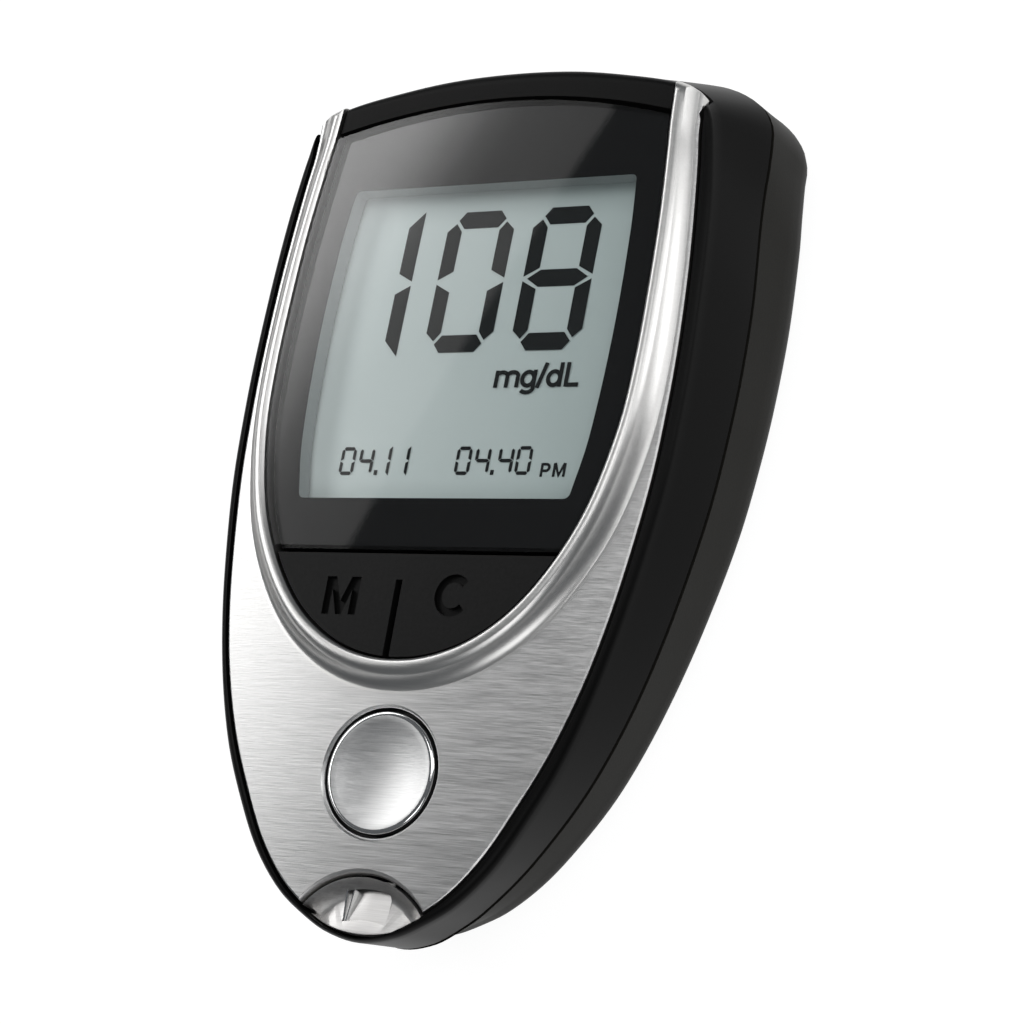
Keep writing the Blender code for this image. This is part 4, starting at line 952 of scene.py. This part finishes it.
def digit_bars(figure, left, base, wide, tall):
    """Bars of one digit. Its proportions are those of the large reading."""
    k = tall / 0.0171
    bar, deep, mid = 0.00185 * k, 0.00205 * k, tall / 2
    slant = deep
    top = [(0.00125 * k, tall - 0.001 * k), (slant, tall), (wide - slant, tall),
           (wide - 0.00125 * k, tall - 0.001 * k), (wide - 0.0021 * k, tall - deep),
           (0.0021 * k, tall - deep)]
    low = mid + 0.00027 * k
    side = [(0, low), (0, tall - 0.00237 * k), (0.00106 * k, tall - 0.0014 * k),
            (bar, tall - 0.0024 * k), (bar, low + 0.001 * k)]
    lone = [(0, low), (0, tall + 0.0003 * k), (bar, tall - 0.0016 * k), (bar, low + 0.001 * k)]
    upper = lone if figure == "1" else side
    shapes = {
        "a": top, "d": [(x, tall - y) for x, y in top],
        "g": [(0.00052 * k, mid), (slant, mid + deep / 2), (wide - slant, mid + deep / 2),
              (wide - 0.00052 * k, mid), (wide - slant, mid - deep / 2),
              (slant, mid - deep / 2)],
        "f": upper, "b": [(wide - x, y) for x, y in upper],
        "e": [(x, tall - y) for x, y in upper], "c": [(wide - x, tall - y) for x, y in upper],
    }
    return [[(left + x, base + y) for x, y in shapes[name]] for name in SHOWN[figure]]


def stroke(path, width):
    """Outline of a line of even width, square at its ends."""
    sides = ([], [])
    for i, at in enumerate(path):
        before = (at - path[i - 1]).normalized() if i else None
        after = (path[i + 1] - at).normalized() if i < len(path) - 1 else None
        way = ((before or after) + (after or before)).normalized()
        reach = width / 2 / max(way.dot(before or after), 0.5)
        across = Vector((-way.y, way.x)) * reach
        sides[0].append(at + across)
        sides[1].append(at - across)
    return [tuple(v) for v in sides[0] + sides[1][::-1]]


def bend(x, y, wide, tall, start, end, steps=14):
    """Part of an ellipse about (x, y), by angle in degrees."""
    found = []
    for i in range(steps + 1):
        t = math.radians(start + (end - start) * i / steps)
        found.append(Vector((x + wide * math.cos(t), y + tall * math.sin(t))))
    return found


def ink(name, shapes, level=0.00464, thick=0.00004, material=segment_ink):
    """Thin raised shapes. Each one is split into triangles and given its own wall."""
    bm = bmesh.new()
    for shape in shapes:
        places = [Vector((x, y, 0)) for x, y in shape]
        faces = mathutils.geometry.tessellate_polygon([places])
        rows = []
        for lift in (0, thick):
            rows.append([bm.verts.new(FACE @ Vector((p.x, p.y, rim_level(p.y) - level + lift)))
                         for p in places])
        for low, row in enumerate(rows):
            for face in faces:
                bm.faces.new([row[i] for i in (face if low else reversed(face))])
        for i in range(len(places)):
            j = (i + 1) % len(places)
            bm.faces.new((rows[0][i], rows[0][j], rows[1][j], rows[1][i]))
    return flat_piece(name, bm, material)


shapes = []
for figure, left in (("1", -0.0185), ("0", -0.00647), ("8", 0.00458)):
    shapes += digit_bars(figure, left, 0.02500, 0.0086, 0.0171)
reading = ink("reading", shapes)
SMALL_BASE = 0.01065
small = []
for figure, left in (("0", -0.01435), ("4", -0.01192), ("1", -0.0097), ("1", -0.00733),
                     ("0", 0.00058), ("4", 0.00297), ("4", 0.00585), ("0", 0.0081)):
    small += digit_bars(figure, left, SMALL_BASE, 0.00187, 0.00325)
for left in (-0.00969, 0.00515):
    small.append([(left, SMALL_BASE), (left + 0.00042, SMALL_BASE), (left + 0.00042, 0.0112),
                  (left, 0.0112)])
date_time = ink("date_and_time", small)
print("bars", len(shapes) + len(small))

# %% [markdown]
# The unit and PM are drawn with bold strokes: straight lines and parts of ellipses, each given
# its width. Every letter is a list of such paths in millimetres, from its lower left corner.

# %% Unit and PM
LETTERS = {
    "m": (3.0, [[(0.22, 0), (0.22, 2.0)],
                bend(0.88, 1.35, 0.66, 0.43, 180, 0) + [Vector((1.54, 0))],
                bend(2.2, 1.35, 0.66, 0.43, 180, 0) + [Vector((2.86, 0))]]),
    "g": (2.0, [bend(0.95, 0.98, 0.72, 0.80, 0, 360, 28), [(1.72, 2.0), (1.72, 0.1)],
                [Vector((1.72, 0.2))] + bend(0.95, -0.15, 0.77, 0.45, 0, -150)]),
    "/": (0.75, [[(0.0, -0.1), (0.8, 2.8)]]),
    "d": (2.05, [bend(0.95, 0.98, 0.72, 0.80, 0, 360, 28), [(1.72, 2.8), (1.72, 0)]]),
    "L": (1.7, [[(0.24, 2.8), (0.24, 0)], [(0.24, 0.2), (1.75, 0.2)]]),
    "P": (2.0, [[(0.24, 0), (0.24, 2.8)],
                [Vector((0.24, 2.57))] + bend(1.1, 1.9, 0.72, 0.67, 90, -90)
                + [Vector((0.24, 1.23))]]),
    "M": (2.8, [[(0.24, 0), (0.24, 2.8)], [(0.3, 2.8), (1.35, 0.3), (2.4, 2.8)],
                [(2.46, 2.8), (2.46, 0)]]),
}


def lettering(text, left, base, scale, bold, gap):
    """Outlines of a word whose letters stand side by side."""
    made = []
    for letter in text:
        wide, paths = LETTERS[letter]
        for path in paths:
            line = [Vector((left + p[0] * scale, base + p[1] * scale)) for p in path]
            made.append(stroke(line, bold))
        left += (wide + gap) * scale
    return made


unit_word = ink("unit_word", lettering("mg/dL", 0.0035, 0.0207, 0.001, 0.00047, 0.22))
pm_word = ink("pm_word", lettering("PM", 0.01131, 0.01043, 0.00055, 0.0003, 0.75))

# %% [markdown]
# The rocker key is rubber with a fine grain. Its letters are pressed in, and a slit splits it
# below the middle.

# %% Rocker key
key_width, key_low = rim_width(0.00032)
rocker = span_sheet("rocker", key_width, lambda a: key_low, lambda a: 0.00035, below(0.0006),
                    below(0.0020), 60, 60, key_rubber)


def box_ring(low, high, z):
    return [(low[0], low[1], z), (high[0], low[1], z), (high[0], high[1], z),
            (low[0], high[1], z)]


def slab(name, low, high, material):
    """Box between two corners, in face coordinates."""
    rings = [box_ring(low, high, z) for z in (low[2], high[2])]
    return skin(name, rings, material, caps=True)


cut(rocker, slab("slit", (-0.0014, -0.0152, -CLEAR), (-0.0006, -0.0025, CLEAR), key_rubber))
WIDE, TALL, LEG = 0.0043, 0.0042, 0.0009
letter_m = [(0, 0), (LEG, 0), (LEG, TALL * 0.66), (WIDE / 2 - LEG * 0.4, 0),
            (WIDE / 2 + LEG * 0.4, 0), (WIDE - LEG, TALL * 0.66), (WIDE - LEG, 0), (WIDE, 0),
            (WIDE, TALL), (WIDE - LEG * 1.3, TALL), (WIDE / 2, TALL * 0.36),
            (LEG * 1.3, TALL), (0, TALL)]
M_LEFT, M_BASE = 0.0101, 0.0065
letter_m = [(x - M_LEFT, y - M_BASE) for x, y in letter_m]
letter_c = stroke(bend(0.0059, -0.0041, 0.00175, 0.00185, 42, 318, 30), LEG)
# The letters' floors and walls take the darker, less glossy case black: painted shade in the
# pressed-in letters.
for shape in (letter_m, letter_c):
    cut(rocker, ink("legend", [shape], 0.0011, 0.0014, case_black_and_letter_shade))
soften_edges(rocker, 0.00010, ((0.0006, 1),))

# %% [markdown]
# ## Button and strip end
# The button is turned: a dished cap inside a polished chamfer, with a flange below that keeps
# it in the case.

# %% Button
profile = [(0, -0.0038), (0.0016, -0.0038), (0.0016, -0.0023), (0.0075, -0.0023),
           (0.0075, -0.0016), (0.00652, -0.0016), (0.00652, -0.0004), (0.00640, -0.00016),
           (0.00620, -0.0001), (0.0060, -0.00011)]
for i in range(13):
    share = 1 - i / 12
    profile.append((0.0058 * share, -0.00012 - 0.00068 * (1 - share**2)))
round_button = lathe("round_button", profile, [button_metal, polished, dark_moulding_and_shade], button_place,
                     sides=128, flat=50)
into = button_place.inverted()
# Painted shade: the cap's side below the chamfer and the flange take the dark moulding, darkening
# the gap round the button.
for face in round_button.data.polygons:
    at = into @ face.center
    if at.z < -0.0005 and at.xy.length > 0.0062:
        face.material_index = 2
    elif at.xy.length > 0.0059:
        face.material_index = 1

# %% Tray, guide and fins
tray = skin("tray", tray_sections(0.0, 0.0031, 0.0), tray_metal, caps=True, flat=40)
level = face_level(0, -0.0338)
ROOM = 0.00265
cut(tray, slab("guide_room", (-ROOM, -0.0389, level - 0.0062), (ROOM, -0.0298, level - 0.0016),
               dark_moulding_and_shade))
inner, outer = level - 0.0023, level - 0.00185
RAMP_IN, RAMP_RUN = -0.0338, 0.0048


def ramp_level(across, along):
    """Top of the ramp, 0 to 1 across and along. Its inner left corner dips."""
    dip = 0.0011 * max(0.0, 0.45 - across) * (1 - along) ** 2
    return inner + (outer - inner) * along - dip


rings = []
for i in range(13):
    across = i / 12
    x = -0.0026 + 0.0052 * across
    row = [(x, -0.0386, inner - 0.0012), (x, RAMP_IN, inner - 0.0012)]
    for k in range(9):
        row.append((x, RAMP_IN - RAMP_RUN * k / 8, ramp_level(across, k / 8)))
    rings.append(row)
guide = skin("guide", rings, tray_metal, caps=True, flat=40)
fins = []
FINS = (("fin_1", -0.0027, -0.0027, 0.00022), ("fin_2", -0.0018, -0.00245, 0.00014))
for name, start, end, thick in FINS:
    rings = []
    for y, x, top in ((-0.0386, end, 0.0005), (-0.0350, start, 0.0008)):
        rings.append([(x, y, inner - 0.0008), (x + thick, y, inner - 0.0008),
                      (x + thick, y, inner + top), (x, y, inner + top)])
    fins.append(skin(name, rings, polished, caps=True))
print("guide", len(guide.data.polygons), "faces and", len(fins), "fins")

# %% [markdown]
# The battery cover and the small inner pieces keep their solids and get a finish.

# %% Finishes for the carried-over solids
FINISH = (
    (key_rubber, "contact_strip"), (board_green, "main_board"), (rear_black, "battery_cover"),
    (dark_moulding_and_shade, "switch_left switch_right switch_main strip_connector processor"),
    (plated, "strip_pin_1 strip_pin_2 strip_pin_3 contact_pair contact_left contact_right buzzer"),
    (jacket, "cell_1 cell_2"), (zinc, "screw_1 screw_2 screw_3 screw_4"),
)
for made, names in FINISH:
    for node in names.split():
        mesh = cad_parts[node].data
        mesh.materials.clear()
        mesh.materials.append(made)

# %% What rides on what, which solid it replaces, and its slot
PIECES = (
    (case_front, "case", "front_housing", "soft_touch_black"),
    (case_rear, "case", "rear_housing", "soft_touch_black"),
    (metal_face, "case", "face_plate", "brushed_aluminium"),
    (lens, "case", "display_lens", "lens_gloss"),
    (lens_print, "case", None, "lens_gloss"),
    (window_bezel, "case", "display_frame", "frame_black"),
    (display, "case", "display_glass", "display_grey"),
    (reading, "case", None, "frame_black"),
    (date_time, "case", None, "frame_black"),
    (unit_word, "case", None, "frame_black"),
    (pm_word, "case", None, "frame_black"),
    (tray, "case", "strip_tray", "brushed_aluminium"),
    (guide, "case", "strip_guide", "brushed_aluminium"),
    (fins[0], "case", None, "brushed_aluminium"),
    (fins[1], "case", None, "brushed_aluminium"),
    (round_button, "button", "main_button", "button_metal"),
    (rocker, "rocker", "mode_key", "key_rubber"),
)
for item, body, node, slot in PIECES:
    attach(item, body)
    if node:
        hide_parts(node)

# %% [markdown]
# ## Studio
# A pale floor, a soft panel up to the left that the lens and the metal mirror, and four lamps.
# The panel is brighter towards its far side, so the lens shows a soft slope of grey that ends
# in one straight edge.

# %% Floor
scene = bpy.context.scene
bpy.ops.object.select_all(action="DESELECT")
bpy.ops.mesh.primitive_plane_add(size=6, location=(0, 0, 0))
floor = bpy.context.object
floor.name = "floor"
floor_white, tree, shader = new_material("Floor white", (0.2, 0.2, 0.2), 0.9)
shader.inputs["Specular IOR Level"].default_value = 0.0
nodes, links = tree.nodes, tree.links
path = nodes.new("ShaderNodeLightPath")
seen = math_node(tree, "MAXIMUM", path.outputs["Is Camera Ray"],
                 math_node(tree, "MAXIMUM", path.outputs["Is Glossy Ray"],
                           path.outputs["Is Transmission Ray"]))
glow = nodes.new("ShaderNodeEmission")
links.new(math_node(tree, "MULTIPLY", seen, 0.93), glow.inputs["Strength"])
total = nodes.new("ShaderNodeAddShader")
links.new(shader.outputs[0], total.inputs[0])
links.new(glow.outputs[0], total.inputs[1])
links.new(total.outputs[0], nodes["Material Output"].inputs["Surface"])
floor.data.materials.append(floor_white)

# %% Soft panel that the lens mirrors
EDGE_TOP, EDGE_WAY = Vector((-0.3679, 0.4500)), Vector((-0.2389, -0.9710))
AWAY = Vector((-0.9710, 0.2389))
PANEL_HEIGHT, PANEL_WIDTH = 0.6, 0.6
panel_mesh = bpy.data.meshes.new("soft_panel")
corners = []
for along, across in ((-0.45, 0.0), (0.55, 0.0), (0.55, PANEL_WIDTH), (-0.45, PANEL_WIDTH)):
    at = EDGE_TOP + EDGE_WAY * along + AWAY * across
    corners.append((at.x, at.y, PANEL_HEIGHT))
panel_mesh.from_pydata([FACE @ Vector(c) for c in corners], [], [(0, 1, 2, 3)])
panel = bpy.data.objects.new("soft_panel", panel_mesh)
scene.collection.objects.link(panel)
uv = panel_mesh.uv_layers.new(name="UVMap")
for loop, pair in zip(uv.data, ((0, 0), (1, 0), (1, 1), (0, 1))):
    loop.uv = pair
glow_material = bpy.data.materials.new("Panel glow")
glow_material.use_nodes = True
tree = glow_material.node_tree
tree.nodes.clear()
output = tree.nodes.new("ShaderNodeOutputMaterial")
glow = tree.nodes.new("ShaderNodeEmission")
uv_map = tree.nodes.new("ShaderNodeUVMap")
split = tree.nodes.new("ShaderNodeSeparateXYZ")
slope = tree.nodes.new("ShaderNodeValToRGB")
stops = slope.color_ramp.elements
stops[0].position, stops[0].color = 0.0, (0.14, 0.14, 0.14, 1)
stops[1].position, stops[1].color = 0.22, (1.0, 1.0, 1.0, 1)
for position, value in ((0.067, 0.18), (0.092, 0.26), (0.112, 0.42), (0.133, 0.62),
                        (0.15, 0.78), (0.183, 0.94)):
    stop = stops.new(position)
    stop.color = (value, value, value, 1)
tree.links.new(uv_map.outputs[0], split.inputs[0])
tree.links.new(split.outputs["Y"], slope.inputs["Fac"])
tree.links.new(math_node(tree, "MULTIPLY", slope.outputs["Color"], 3.6), glow.inputs["Strength"])
tree.links.new(glow.outputs[0], output.inputs["Surface"])
panel_mesh.materials.append(glow_material)


# %% Lamps and world
def lamp(name, place, size, power, tall=None):
    """Area lamp at a place in face coordinates, turned towards their origin."""
    data = bpy.data.lights.new(name, "AREA")
    data.energy = power
    data.size = size
    if tall:
        data.shape = "RECTANGLE"
        data.size_y = tall
    item = bpy.data.objects.new(name, data)
    scene.collection.objects.link(item)
    item.location = FACE @ Vector(place)
    way = (FACE @ Vector((0, 0, 0))) - item.location
    item.rotation_euler = way.to_track_quat("-Z", "Y").to_euler()


lamp("right_lamp", (0.58, 0.34, 0.78), 0.5, 2.2, 0.9)
lamp("side_lamp", (1.0, 0.45, 0.30), 0.3, 1.8, 0.5)
lamp("top_lamp", (-0.02, 0.24, 0.97), 0.25, 1.0, 0.4)
lamp("front_lamp", (0.30, -0.62, 0.80), 0.5, 1.8)
world = bpy.data.worlds.new("Studio")
scene.world = world
world.use_nodes = True
sky = world.node_tree.nodes["Background"]
sky.inputs["Color"].default_value = (0.9, 0.95, 1.0, 1)
sky.inputs["Strength"].default_value = 0.12

# %% Camera, placed as the photograph was taken
RIGHT = Vector((0.8636, 0.169, -0.4751))
UP = Vector((-0.0068, 0.946, 0.3242))
BACK = Vector((0.5042, -0.2768, 0.818))
eye = RIGHT * 0.01085499 + UP * 0.00456613 + BACK * 0.2841453
turn = Matrix((RIGHT, UP, BACK)).transposed().to_4x4()
camera_data = bpy.data.cameras.new("camera")
camera = bpy.data.objects.new("camera", camera_data)
scene.collection.objects.link(camera)
camera.matrix_world = FACE @ (Matrix.Translation(eye) @ turn)
camera_data.sensor_width = 36
camera_data.lens = 94.9
camera_data.clip_start = 0.01
scene.camera = camera
scene.view_settings.view_transform = "Standard"

# %% Hand over
bpy.context.view_layer.update()
